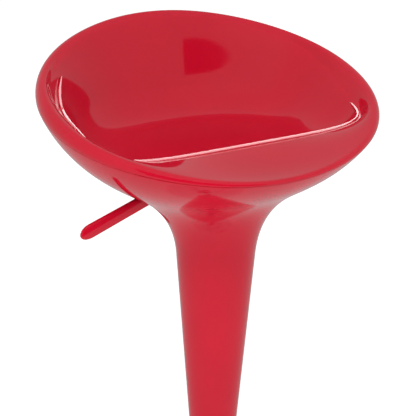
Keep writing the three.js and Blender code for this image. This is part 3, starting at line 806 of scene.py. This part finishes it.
FINISHES = {
    "seat_red": red_gloss,
    "chrome": chrome_plate,
    "zinc_steel": zinc_steel,
    "ground_steel": ground_steel,
    "black_steel": powder_coat,
    "black_plastic": moulded_nylon,
    "black_rubber": black_rubber,
    "weld_metal": weld_metal,
}


def finish_of(name):
    """The named finish, made the first time it is asked for."""
    maker = FINISHES[name]
    made = bpy.data.materials.get(maker.__name__)
    return made or maker(settings().finish)


# ---- pieces: the seat ----


def boolean(piece, tool, operation):
    """Joins or cuts a piece by a tool, keeps the result in the mesh and throws the tool away."""
    cutter = piece.modifiers.new("boolean", "BOOLEAN")
    cutter.operation = operation
    cutter.solver = "EXACT"
    cutter.object = tool
    bpy.context.view_layer.update()
    graph = bpy.context.evaluated_depsgraph_get()
    mesh = bpy.data.meshes.new_from_object(piece.evaluated_get(graph))
    piece.modifiers.clear()
    piece.data = mesh
    bpy.data.objects.remove(tool)
    mesh.set_sharp_from_angle(angle=SHARP_EDGE)


def make_seat_pan():
    """The seat pan: the upper face, its rounded seam edge and the same face a wall's thickness below."""
    shape = settings().seat
    angle = np.linspace(0, TAU, settings().studio.columns, endpoint=False)
    upper = pan_upper(shape, angle)
    normal = normals_of(upper)
    lower = upper - normal * shape.pan_wall
    edge = edge_rings(upper, shape.edge_round, False)
    rings = np.concatenate([upper[:-1], edge, lower[::-1]])
    centre = np.array([0, shape.ridge_centre_y, shape.rim_front_z - shape.basin_depth])
    poles = [centre, centre - [0, 0, shape.pan_wall]]
    mesh = mesh_from_rings("seat_pan_surface", rings, poles)
    add_piece("moulded_seat_pan", mesh, "seat", "seat_red", ["seat_pan"])


def make_basin_bead():
    """The raised bead that edges the basin: a round rib along the ridge's line, thinning to its two ends.

    Its radius is the bead's size times the root of sin(pi t), held at 1, where t runs along the line."""
    shape = settings().seat
    share = np.linspace(0, 1, 400)
    line = ridge(shape, mix(-shape.bead_left, shape.bead_right, share))
    line[:, 2] += shape.bead_lift
    size = shape.bead_radius * np.clip(np.sin(np.pi * share) * shape.bead_taper, 0, 1) ** 0.5
    rings = tube_rings(line, np.maximum(size, shape.bead_radius * 0.02)[:, None, None], 24)
    mesh = mesh_from_rings("basin_bead_surface", rings, [line[0], line[-1]])
    add_piece("basin_edge_bead", mesh, "seat", "seat_red")


def slot_cutter(shape):
    """A stadium-shaped bar through the shell's left side: straight sides between two half circles.

    The outline is the circle of the slot's radius, its left half moved to the outer end."""
    angle = np.linspace(0, TAU, 64, endpoint=False) + TAU / 128
    radius = shape.slot_width / 2
    inner, outer = shape.slot_inner_x - radius, shape.slot_outer_x + radius
    x = radius * np.sin(angle) + np.where(np.sin(angle) > 0, inner, outer)
    y = -radius * np.cos(angle)
    heights = np.linspace(shape.rim_front_z - 20 * MM, shape.rim_front_z - shape.neck_drop, 3)
    rings = np.stack([join_points(x, y, height) for height in heights])
    middle = (inner + outer) / 2
    return mesh_from_rings("slot_cutter", rings, [(middle, 0, heights[0]), (middle, 0, heights[-1])])


def make_lower_shell():
    """The lower shell: flare and trunk with a wall, and the lever's slot cut through it."""
    shape = settings().seat
    angle = np.linspace(0, TAU, settings().studio.columns, endpoint=False)
    outer = shell_outer(shape, angle)
    inner = outer - normals_of(outer) * shape.shell_wall
    head = edge_rings(outer, shape.edge_round, True)[::-1]
    foot = edge_rings(outer, shape.edge_round, False)
    rings = np.concatenate([head, outer[1:-1], foot, inner[::-1]])
    mesh = mesh_from_rings("lower_shell_surface", rings)
    piece = add_piece("flared_lower_shell", mesh, "seat", "seat_red", ["lower_shell"])
    boolean(piece, new_object("slot_cutter", slot_cutter(shape)), "DIFFERENCE")


# ---- pieces: the lever ----


def lever_frame(lever):
    """Where the handle starts, its way outwards and its way up."""
    start = np.array([lever.inner_x, 0, lever.line_z + lever.slope * (lever.inner_x - lever.line_x)])
    along = unit(np.array([-1, 0, -lever.slope]))
    upward = unit(np.array([-lever.slope, 0, 1]))
    return start, along, upward


def make_lever_grip():
    """The handle: lens-shaped sections along the lever's line, from a rounded tip to an open pocket.

    A section is half * sin t up and thick * |cos t|^p sideways. The tip closes as a quarter of an
    ellipse. At the inner end the section turns into the rectangle of the blade's pocket."""
    lever = settings().lever
    start, along, upward = lever_frame(lever)
    length_now = (lever.inner_x - lever.tip_x) * math.hypot(1, lever.slope)
    columns = 96
    turn = np.linspace(0, TAU, columns, endpoint=False)[None, :]
    tip_share = np.sin(np.linspace(0.06, np.pi / 2, 22))
    tip = length_now - lever.tip_length * (1 - np.cos(np.arcsin(tip_share)))
    body = np.linspace(length_now - lever.tip_length, lever.edge_round, 60)[1:]
    distance = np.concatenate([tip, body])[:, None]
    closing = np.concatenate([tip_share, np.ones(len(body))])[:, None]
    half = lever.height / 2 * mix(1, lever.tip_gain, smooth(distance / length_now)) * closing
    thick = lever.thickness / 2 * np.sqrt(closing)
    droop = -lever.tip_droop * (1 - closing)
    side = np.sign(np.cos(turn)) * np.abs(np.cos(turn)) ** lever.arris

    def place(distance_now, up_now, side_now):
        points = start + along * distance_now[..., None] + upward * up_now[..., None]
        points[..., 1] = side_now
        return points

    full = np.broadcast_arrays(distance, half * np.sin(turn) + droop, thick * side)
    outside = place(*full)
    corner = np.linspace(0, np.pi / 2, 5)[1:, None]
    shrink = lever.edge_round * (1 - np.cos(corner))
    rise = lever.height / 2 - shrink
    wide = lever.thickness / 2 - shrink
    edge_place = lever.edge_round * (1 - np.sin(corner))
    edge = place(*np.broadcast_arrays(edge_place, rise * np.sin(turn), wide * side))
    reach = superellipse(turn + np.pi / 2, lever.blade_thickness / 2, lever.blade_height / 2, 9)
    mouth_up, mouth_side = reach * np.sin(turn), reach * np.cos(turn)
    pocket = (lever.inner_x - lever.blade_end_x) * math.hypot(1, lever.slope) + 2 * MM
    depths = np.array([0, 0, pocket, pocket])[:, None]
    scale = np.array([1.35, 1.12, 1.12, 0.5])[:, None]
    inside = place(*np.broadcast_arrays(depths, mouth_up * scale, mouth_side * scale))
    rings = np.concatenate([outside, edge, inside])
    tip_pole = start + along * length_now - upward * lever.tip_droop
    poles = [tip_pole, start + along * pocket]
    mesh = mesh_from_rings("lever_grip_surface", rings, poles)
    add_piece("release_handle", mesh, "lever", "seat_red", ["lever_grip"])


# ---- pieces: the gas lift ----


def make_gas_lift():
    """The pressure tube and everything that slides or seals in it, and the piston rod with its stop."""
    column = settings().column
    tube = column.tube_radius / MM
    bore = (column.tube_radius - column.tube_wall) / MM
    rod = column.rod_radius / MM
    gap = column.gap / MM
    _, bottom, top = extent("pressure_tube")
    crimp = bottom + 20
    add_turned(
        "gas_pressure_tube",
        "pressure_tube",
        [
            (tube, top, 1), (tube, crimp + 2, 1), (tube - 0.6, crimp, 1), (tube, crimp - 2, 1),
            (tube, bottom, 1), (bore, bottom, 0.5), (bore, top, 0.5),
        ],
        "chrome",
    )
    around = rod + gap
    add_ring("gas_rod_guide", "rod_guide", around, "black_plastic")
    add_lip_seal(around)
    outer, low, high = extent("piston")
    add_turned(
        "gas_piston",
        "piston",
        [
            (outer, high, 0.5), (outer, high - 3, 0.3), (outer - 1.2, high - 3.4, 0.3),
            (outer - 1.2, high - 6, 0.3), (outer, high - 6.4, 0.3), (outer, low, 0.5),
            (around, low, 0.3), (around, high, 0.3),
        ],
        "zinc_steel",
    )
    outer, low, high = extent("piston_rod")
    clip = extent("rod_clip")[1:]
    flange = extent("bump_stop")[1] - gap
    add_turned(
        "ground_piston_rod",
        "piston_rod",
        [
            (0, high, 0), (rod, high, 0.8), (rod, flange, 0.4), (outer, flange, 0.4),
            (outer, flange - 5.4, 0.4), (rod, flange - 5.4, 0.4), (rod, clip[1] + 0.3, 0.2),
            (rod - 0.2, clip[1] + 0.2, 0.1), (rod - 0.2, clip[0] - 0.2, 0.1),
            (rod, clip[0] - 0.3, 0.2), (rod, low, 0.8), (0, low, 0),
        ],
        "zinc_steel",
        finish="ground_steel",
    )
    add_bump_stop()
    outer, low, high = extent("valve_body")
    pin = extent("release_pin")[0] + 0.4
    add_turned(
        "gas_valve_body",
        "valve_body",
        [
            (0, low + 10, 0), (pin, low + 10, 0.3), (pin, high, 0.5), (outer, high, 1),
            (outer, low, 1), (0, low, 0),
        ][::-1],
        "zinc_steel",
    )
    outer, low, high = extent("release_pin")
    dome = [(0, high, 0), (0.6 * outer, high - 0.4, 1), (outer, high - 1.5, 1)]
    pin = [*dome, (outer, low, 0.3), (0, low, 0)]
    add_turned("valve_release_pin", "release_pin", pin, "zinc_steel", finish="ground_steel", columns=48)


def add_lip_seal(around):
    """The rod seal: a ring with a groove in its outer face and a lip that leans on the rod."""
    outer, low, high = extent("rod_seal")
    corners = [
        (outer, high, 0.4), (outer, high - 1.4, 0.3), (outer - 0.8, high - 1.8, 0.3),
        (outer - 0.8, low + 1.8, 0.3), (outer, low + 1.4, 0.3), (outer, low, 0.4),
        (around + 1, low, 0.4), (around, high, 0.4),
    ]
    add_turned("gas_rod_seal", "rod_seal", corners, "black_rubber")


def add_bump_stop():
    """The rubber buffer: a turned sleeve whose outside swells between three waists, as 1 + cos of height."""
    outer, low, high = extent("bump_stop")
    bore = settings().column.rod_radius / MM + 0.4
    swells = 4
    height = np.linspace(high - 0.6, low + 0.6, 60)
    wave = (1 - np.cos(TAU * swells * (height - low) / (high - low))) / 2
    side = np.stack([outer - 2.4 + 2.4 * wave, height], axis=-1)
    ends = np.array([[bore, low + 0.4], [bore + 0.4, low], [bore + 0.4, high], [bore, high - 0.4]])
    outline = np.concatenate([[[outer - 3, high]], side, [[outer - 3, low]], ends[1::-1], ends[:1:-1]])
    mesh = turned_mesh("bump_stop_surface", outline * MM)
    add_piece("rubber_bump_stop", mesh, body_of("bump_stop"), "black_rubber", ["bump_stop"])


# ---- pieces: the column ----


def make_column():
    """The stand tube, its bush, foot, plug and swivel bearing."""
    column = settings().column
    tube = column.column_radius / MM
    bore = (column.column_radius - column.column_wall) / MM
    gap = column.gap / MM
    rod = column.rod_radius / MM + 0.4
    add_ring("chromed_stand_tube", "stand_tube", bore, "chrome", edge=0.8, columns=128)
    outer, low, high = extent("column_bush")
    slide = column.tube_radius / MM + gap
    add_turned(
        "sliding_column_bush",
        "column_bush",
        [
            (slide + 1, high, 0.5), (tube - 1, high, 1.2), (tube, high - 3.7, 0.4),
            (bore - gap, high - 3.7, 0.3), (bore - gap, low, 0.8), (slide, low, 0.5),
            (slide, high - 1, 0.5),
        ],
        "black_plastic",
    )
    add_ring("bearing_floor", "column_floor", rod, "zinc_steel")
    add_ring("lower_thrust_washer", "thrust_washer_lower", rod, "zinc_steel", 0.3, "ground_steel")
    add_ring("upper_thrust_washer", "thrust_washer_upper", rod, "zinc_steel", 0.3, "ground_steel")
    add_ball_cage()
    add_ring("drilled_column_plug", "column_plug", 6.4, "zinc_steel", edge=1)
    outer, low, high = extent("column_foot")
    sleeve = tube + gap
    add_turned(
        "welded_column_foot",
        "column_foot",
        [
            (sleeve, high, 0.5), (sleeve + 2.7, high, 1), (sleeve + 3.7, low + 5, 4),
            (outer, low + 3.5, 1), (outer, low, 1), (sleeve, low, 0.5),
        ],
        "zinc_steel",
    )


def add_ball_cage():
    """The swivel bearing: a thin flat cage ring with balls, each a sphere of sin and cos of two angles."""
    outer, low, high = extent("thrust_ball_ring")
    middle = (low + high) / 2
    ball = (high - low) / 2
    track = outer - ball
    cage = [
        (track + 1.8, middle + 0.5, 0.2), (track + 1.8, middle - 0.5, 0.2),
        (track - 1.8, middle - 0.5, 0.2), (track - 1.8, middle + 0.5, 0.2),
    ]
    piece = add_turned("caged_bearing_balls", "thrust_ball_ring", cage, "zinc_steel")
    rise = np.linspace(0, np.pi, 19)
    profile = np.stack([ball * np.sin(rise), ball * np.cos(rise)], axis=-1) * MM
    ball_mesh = turned_mesh("ball_surface", profile, 36)
    for turn in np.linspace(0, TAU, 12, endpoint=False):
        mesh = ball_mesh.copy()
        shift = Matrix.Translation((track * MM * math.sin(turn), track * MM * math.cos(turn), middle * MM))
        mesh.transform(shift)
        boolean(piece, new_object("ball", mesh), "UNION")


# ---- pieces: the base ----


def make_base():
    """The spun base disc, its floor ring, ballast and clamping washer."""
    column = settings().column
    wall = 1.0
    outer, low, high = extent("base_disc")
    neck = column.column_radius / MM + column.gap / MM
    sweep = spline(
        [
            (neck + 4.6, high - 1), (neck + 10.7, 48), (48, 39), (70, 31), (105, 23.5), (150, 17),
            (outer - 6, 12.2),
        ],
        14,
    )
    lip = rounded([(outer - 7, 12, 0), (outer, 10.5, 5), (outer, low, 0.5), (outer - wall, low, 0)], False)
    top = rounded([(neck, high, 0), (neck + 4, high, 1.2), tuple(sweep[0]) + (0,)], False)
    under = sweep[::-1] - [0, 2 * wall]
    inside_lip = np.array([(outer - wall, 8.5), (outer - 2 * wall, 10 - wall)])
    outline = np.concatenate([top[:-1], sweep, lip[1:], inside_lip, under[1:-8], [(neck, 48)]])
    mesh = turned_mesh("base_disc_surface", outline * MM, 160)
    add_piece("spun_base_disc", mesh, "base", "chrome", ["base_disc"])
    add_floor_ring()
    add_ring("iron_ballast_plate", "ballast_plate", 6.5, "black_steel", edge=1, columns=128)
    add_ring("clamping_washer", "base_washer", 6.5, "zinc_steel", edge=0.4)


def add_floor_ring():
    """The rubber ring under the base: a flat foot with a groove and a raised inner bead."""
    outer, low, high = extent("floor_ring")
    inner = outer - 13
    corners = [
        (outer, high, 0.8), (outer, low + 1, 0.8), (outer - 1.5, low, 0.6), (outer - 5, low, 0.5),
        (outer - 5.6, low + 1, 0.4), (inner + 5.6, low + 1, 0.4), (inner + 5, low, 0.5),
        (inner + 1.5, low, 0.6), (inner, low + 1, 0.8), (inner, high, 0.8),
    ]
    add_turned("rubber_floor_ring", "floor_ring", corners, "black_rubber", columns=160)


# ---- pieces: the footrest ----


def footrest_route(column):
    """The footrest's middle line: one half's points, mirrored in the YZ plane, and a curve through them."""
    low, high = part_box("footrest_loop")
    radius = column.footrest_radius / MM
    front = low[1] / MM + radius
    lift = high[2] / MM - radius
    start = (column.collar_radius + column.gap) / MM
    half = [
        (start, 0, FOOTREST_START_Z), (46, 0, FOOTREST_START_Z), (68, -10, 77), (104, -48, 104),
        (122, -108, 147), (96, -170, 186), (48, front + 6, lift - 3),
    ]
    other = [(-x, y, z) for x, y, z in half[::-1]]
    return spline([*half, (0, front, lift), *other], 14) * MM


def tube_rings(route, radius, columns=48):
    """Circles carried along a route: radius times cos and sin of an angle, on two axes square to the route.

    One axis is the route's direction crossed with a fixed one that no part of the route follows."""
    tangent = unit(np.gradient(route, axis=0))
    side = unit(np.cross(tangent, np.array([0, 0.8, 0.6])))
    up = np.cross(side, tangent)
    angle = np.linspace(0, TAU, columns, endpoint=False)[None, :, None]
    return route[:, None] + radius * (np.cos(angle) * side[:, None] + np.sin(angle) * up[:, None])


def make_footrest():
    """The footrest's bent tube, its clamping collar and the two weld beads between them."""
    column = settings().column
    route = footrest_route(column)
    rings = tube_rings(route, column.footrest_radius)
    mesh = mesh_from_rings("footrest_loop_surface", rings[::-1], [route[-1], route[0]])
    add_piece("bent_footrest_loop", mesh, "base", "chrome", ["footrest_loop"])
    outer, low, high = extent("footrest_collar")
    bore = (column.column_radius + column.gap) / MM
    collar = [(outer, high, 2.5), (outer, low, 2.5), (bore, low, 0.8), (bore, high, 0.8)]
    add_turned("footrest_clamp_collar", "footrest_collar", collar, "chrome", columns=128)
    for name, side in (("left", -1), ("right", 1)):
        add_weld_bead(f"footrest_weld_{name}", side)


def add_weld_bead(name, side):
    """A weld bead: a torus round the tube's end, its section swelling as 1 + 0.2 cos of 26 turns."""
    column = settings().column
    around = np.linspace(0, TAU, 156, endpoint=False)[:, None]
    section = np.linspace(0, TAU, 20, endpoint=False)[None, :]
    swell = 2.0 * MM * (1 + 0.2 * np.cos(26 * around))
    reach = column.footrest_radius + 0.6 * MM + swell * np.cos(section)
    centre_z = FOOTREST_START_Z * MM
    run_on = np.sqrt(np.maximum(column.collar_radius**2 - (reach * np.sin(around)) ** 2, 0))
    x = run_on + 0.8 * MM + swell * np.sin(section)
    rings = join_points(side * x, reach * np.sin(around), centre_z + reach * np.cos(around))
    if side < 0:
        rings = rings[:, ::-1]
    add_piece(name, mesh_from_rings(name + "_surface", rings), "base", "chrome", finish="weld_metal")


# ---- carried-over metalwork ----

PLAIN_FINISHES = {
    "zinc_steel": ["lever_blade", "lever_pivot_pin", "piston_nut", "rod_clip", "base_bolt"]
    + [f"{kind}_{place}" for kind in ("bolt_washer", "seat_bolt") for place in range(1, 5)],
    "black_steel": ["seat_bracket", "bracket_socket"],
    "black_plastic": ["trunk_guide_ring"],
}


def finish_metalwork():
    """Gives each CAD node that stays its finish."""
    for name, nodes in PLAIN_FINISHES.items():
        for node in nodes:
            materials = frame["nodes"][node].data.materials
            materials.clear()
            materials.append(finish_of(name))


# ---- the stage ----


def hide_from(item, *rays):
    """Hides a sheet or a light from kinds of rays, such as diffuse or glossy ones."""
    for ray in rays:
        setattr(item, "visible_" + ray, False)


def stage_sheet(name, corners, material):
    """A flat sheet of the stage through four corners in metres."""
    mesh = bpy.data.meshes.new(name)
    mesh.from_pydata(corners, [], [(0, 1, 2, 3)])
    mesh.materials.append(material)
    sheet = new_object(name, mesh)
    return sheet


def place_camera(studio):
    """The camera, on a sphere round its target, aimed a little to the left and tilted about its axis."""
    azimuth, elevation, roll_now = studio.azimuth, studio.elevation, studio.roll
    back = Vector(
        (
            math.sin(azimuth) * math.cos(elevation),
            -math.cos(azimuth) * math.cos(elevation),
            math.sin(elevation),
        )
    )
    right = Vector((math.cos(azimuth), math.sin(azimuth), 0))
    target = Vector((0, 0, studio.target_z))
    place = target + back * studio.distance
    way = target - right * studio.aim_left - place
    data = bpy.data.cameras.new("camera")
    data.sensor_width = 36
    data.lens = studio.lens
    camera = new_object("camera", data)
    turn = way.to_track_quat("-Z", "Y") @ Quaternion((0, 0, 1), roll_now)
    camera.matrix_world = Matrix.LocRotScale(place, turn, None)
    bpy.context.scene.camera = camera


def add_soft_light(name, place, aim, size, power, glossy):
    """A rectangular soft light at a place, turned to its aim. It either shows in gloss or lights surfaces."""
    data = bpy.data.lights.new(name, "AREA")
    data.shape = "RECTANGLE"
    data.size, data.size_y = size
    data.energy = power
    light = new_object(name, data)
    turn = (Vector(aim) - Vector(place)).to_track_quat("-Z", "Y")
    light.matrix_world = Matrix.LocRotScale(Vector(place), turn, None)
    hide_from(light, "diffuse" if glossy else "glossy")
    return light


def add_bead_lights(studio):
    """Bright sheets overhead and behind that show only in the bead's gloss, as a thin line along it."""
    group = bpy.data.collections.new("bead_only")
    group.objects.link(bpy.data.objects["basin_edge_bead"])
    target = (0, 0, 0.77)
    sheets = (("bead_light_top", (0, -0.3, 2.8), (4.5, 4)), ("bead_light_back", (0, 2.6, 2), (5, 2.6)))
    for name, place, size in sheets:
        power = studio.bead_glow * size[0] * size[1]
        light = add_soft_light(name, place, target, size, power, True)
        light.light_linking.receiver_collection = group


STAGE_CORNERS = [(x * STAGE_REACH, y * STAGE_REACH) for x, y in ((-1, -1), (1, -1), (1, 1), (-1, 1))]


def add_floor(studio):
    """The pale floor: matt, faintly speckled and a little self-lit, so that it stays even."""
    work = Finish("pale_floor")
    tone = work.blend(work.noise(40, detail=3), (0.86, 0.86, 0.86, 1), (0.9, 0.9, 0.9, 1))
    glow = {"emission_color": WHITE, "emission_strength": studio.floor_glow}
    surface = work.surface(base_color=tone, roughness=0.6, **glow)
    hide_from(stage_sheet("floor", [(x, y, 0) for x, y in STAGE_CORNERS], surface), "glossy")


def add_backdrop():
    """Four white walls round the floor that only the camera sees, for a view from low down."""
    work = Finish("white_wall")
    glow = {"emission_color": WHITE, "emission_strength": 1}
    surface = work.surface(base_color=BLACK, roughness=1, **glow)
    for index, here in enumerate(STAGE_CORNERS):
        beside = STAGE_CORNERS[index - 3]
        outline = [(*here, 0), (*beside, 0), (*beside, STAGE_REACH), (*here, STAGE_REACH)]
        wall = stage_sheet(f"backdrop_{index + 1}", outline, surface)
        hide_from(wall, "diffuse", "glossy", "shadow")


def add_dark_card(studio):
    """A black card low on the sitter's side, seen only in gloss, that deepens the red facing it."""
    work = Finish("black_card")
    surface = work.surface(base_color=BLACK, roughness=1)
    corners = []
    for across, height in ((0, 0), (1, 0), (1, 1), (0, 1)):
        turn = studio.azimuth + mix(-studio.card_left, studio.card_right, across)
        x, y = studio.card_away * math.sin(turn), -studio.card_away * math.cos(turn)
        corners.append((x, y, studio.card_low + height * studio.card_height))
    hide_from(stage_sheet("dark_card", corners, surface), "camera", "diffuse", "shadow")


def make_stage():
    """The floor, the white studio, the soft lights and the camera."""
    studio = settings().studio
    place_camera(studio)
    bpy.context.scene.view_settings.view_transform = "Standard"
    add_floor(studio)
    add_backdrop()
    world = bpy.data.worlds.new("studio")
    bpy.context.scene.world = world
    world.use_nodes = True
    background = world.node_tree.nodes["Background"]
    background.inputs["Color"].default_value = WHITE
    background.inputs["Strength"].default_value = studio.fill
    middle = (0, 0, 0.6)
    add_soft_light("front_light", (-1.0, -1.7, 2.7), middle, (2.4, 1.6), studio.front_power, False)
    add_soft_light("top_light", (0, 0, 3), middle, (2.5, 2.5), studio.top_power, False)
    add_dark_card(studio)
    add_bead_lights(studio)


# ---- the add-on ----


class STOOL_OT_make_seat_pan(bpy.types.Operator):
    """Makes the moulded seat pan."""

    bl_idname = "stool.make_seat_pan"
    bl_label = "Seat pan"

    def execute(self, context):
        make_seat_pan()
        return {"FINISHED"}


class STOOL_OT_make_basin_bead(bpy.types.Operator):
    """Makes the bead that edges the basin."""

    bl_idname = "stool.make_basin_bead"
    bl_label = "Basin bead"

    def execute(self, context):
        make_basin_bead()
        return {"FINISHED"}


class STOOL_OT_make_lower_shell(bpy.types.Operator):
    """Makes the flared lower shell with the lever's slot."""

    bl_idname = "stool.make_lower_shell"
    bl_label = "Lower shell"

    def execute(self, context):
        make_lower_shell()
        return {"FINISHED"}


class STOOL_OT_make_lever_grip(bpy.types.Operator):
    """Makes the release lever's handle."""

    bl_idname = "stool.make_lever_grip"
    bl_label = "Lever handle"

    def execute(self, context):
        make_lever_grip()
        return {"FINISHED"}


class STOOL_OT_make_gas_lift(bpy.types.Operator):
    """Makes the gas lift: tube, seals, piston, rod, stop, valve and pin."""

    bl_idname = "stool.make_gas_lift"
    bl_label = "Gas lift"

    def execute(self, context):
        make_gas_lift()
        return {"FINISHED"}


class STOOL_OT_make_column(bpy.types.Operator):
    """Makes the stand tube, its bush, foot and plug, and the swivel bearing."""

    bl_idname = "stool.make_column"
    bl_label = "Column"

    def execute(self, context):
        make_column()
        return {"FINISHED"}


class STOOL_OT_make_base(bpy.types.Operator):
    """Makes the base disc, its floor ring, ballast and washer."""

    bl_idname = "stool.make_base"
    bl_label = "Base"

    def execute(self, context):
        make_base()
        return {"FINISHED"}


class STOOL_OT_make_footrest(bpy.types.Operator):
    """Makes the footrest's tube, its collar and its welds."""

    bl_idname = "stool.make_footrest"
    bl_label = "Footrest"

    def execute(self, context):
        make_footrest()
        return {"FINISHED"}


class STOOL_OT_make_metalwork(bpy.types.Operator):
    """Gives the metalwork that keeps its plain shape its finish."""

    bl_idname = "stool.make_metalwork"
    bl_label = "Metalwork"

    def execute(self, context):
        finish_metalwork()
        return {"FINISHED"}


class STOOL_OT_make_stage(bpy.types.Operator):
    """Makes the floor, the backdrop, the lights and the camera."""

    bl_idname = "stool.make_stage"
    bl_label = "Studio"

    def execute(self, context):
        make_stage()
        return {"FINISHED"}


OPERATORS = [
    STOOL_OT_make_seat_pan,
    STOOL_OT_make_basin_bead,
    STOOL_OT_make_lower_shell,
    STOOL_OT_make_lever_grip,
    STOOL_OT_make_gas_lift,
    STOOL_OT_make_column,
    STOOL_OT_make_base,
    STOOL_OT_make_footrest,
    STOOL_OT_make_metalwork,
    STOOL_OT_make_stage,
]


class STOOL_PT_pieces(bpy.types.Panel):
    """Lists the stool's pieces."""

    bl_idname = "STOOL_PT_pieces"
    bl_label = "Swivel stool"
    bl_space_type = "VIEW_3D"
    bl_region_type = "UI"
    bl_category = "Stool"

    def draw(self, context):
        for operator in OPERATORS:
            self.layout.operator(operator.bl_idname)


CLASSES = [
    StoolSeatShape,
    StoolLeverShape,
    StoolColumnShape,
    StoolFinish,
    StoolStudio,
    StoolSettings,
    *OPERATORS,
    STOOL_PT_pieces,
]


def register():
    for item in CLASSES:
        bpy.utils.register_class(item)
    bpy.types.Scene.stool = PointerProperty(type=StoolSettings)


def unregister():
    del bpy.types.Scene.stool
    for item in reversed(CLASSES):
        bpy.utils.unregister_class(item)


def main():
    register()
    for operator in OPERATORS:
        category, name = operator.bl_idname.split(".")
        getattr(getattr(bpy.ops, category), name)()


if __name__ == "__main__":
    main()
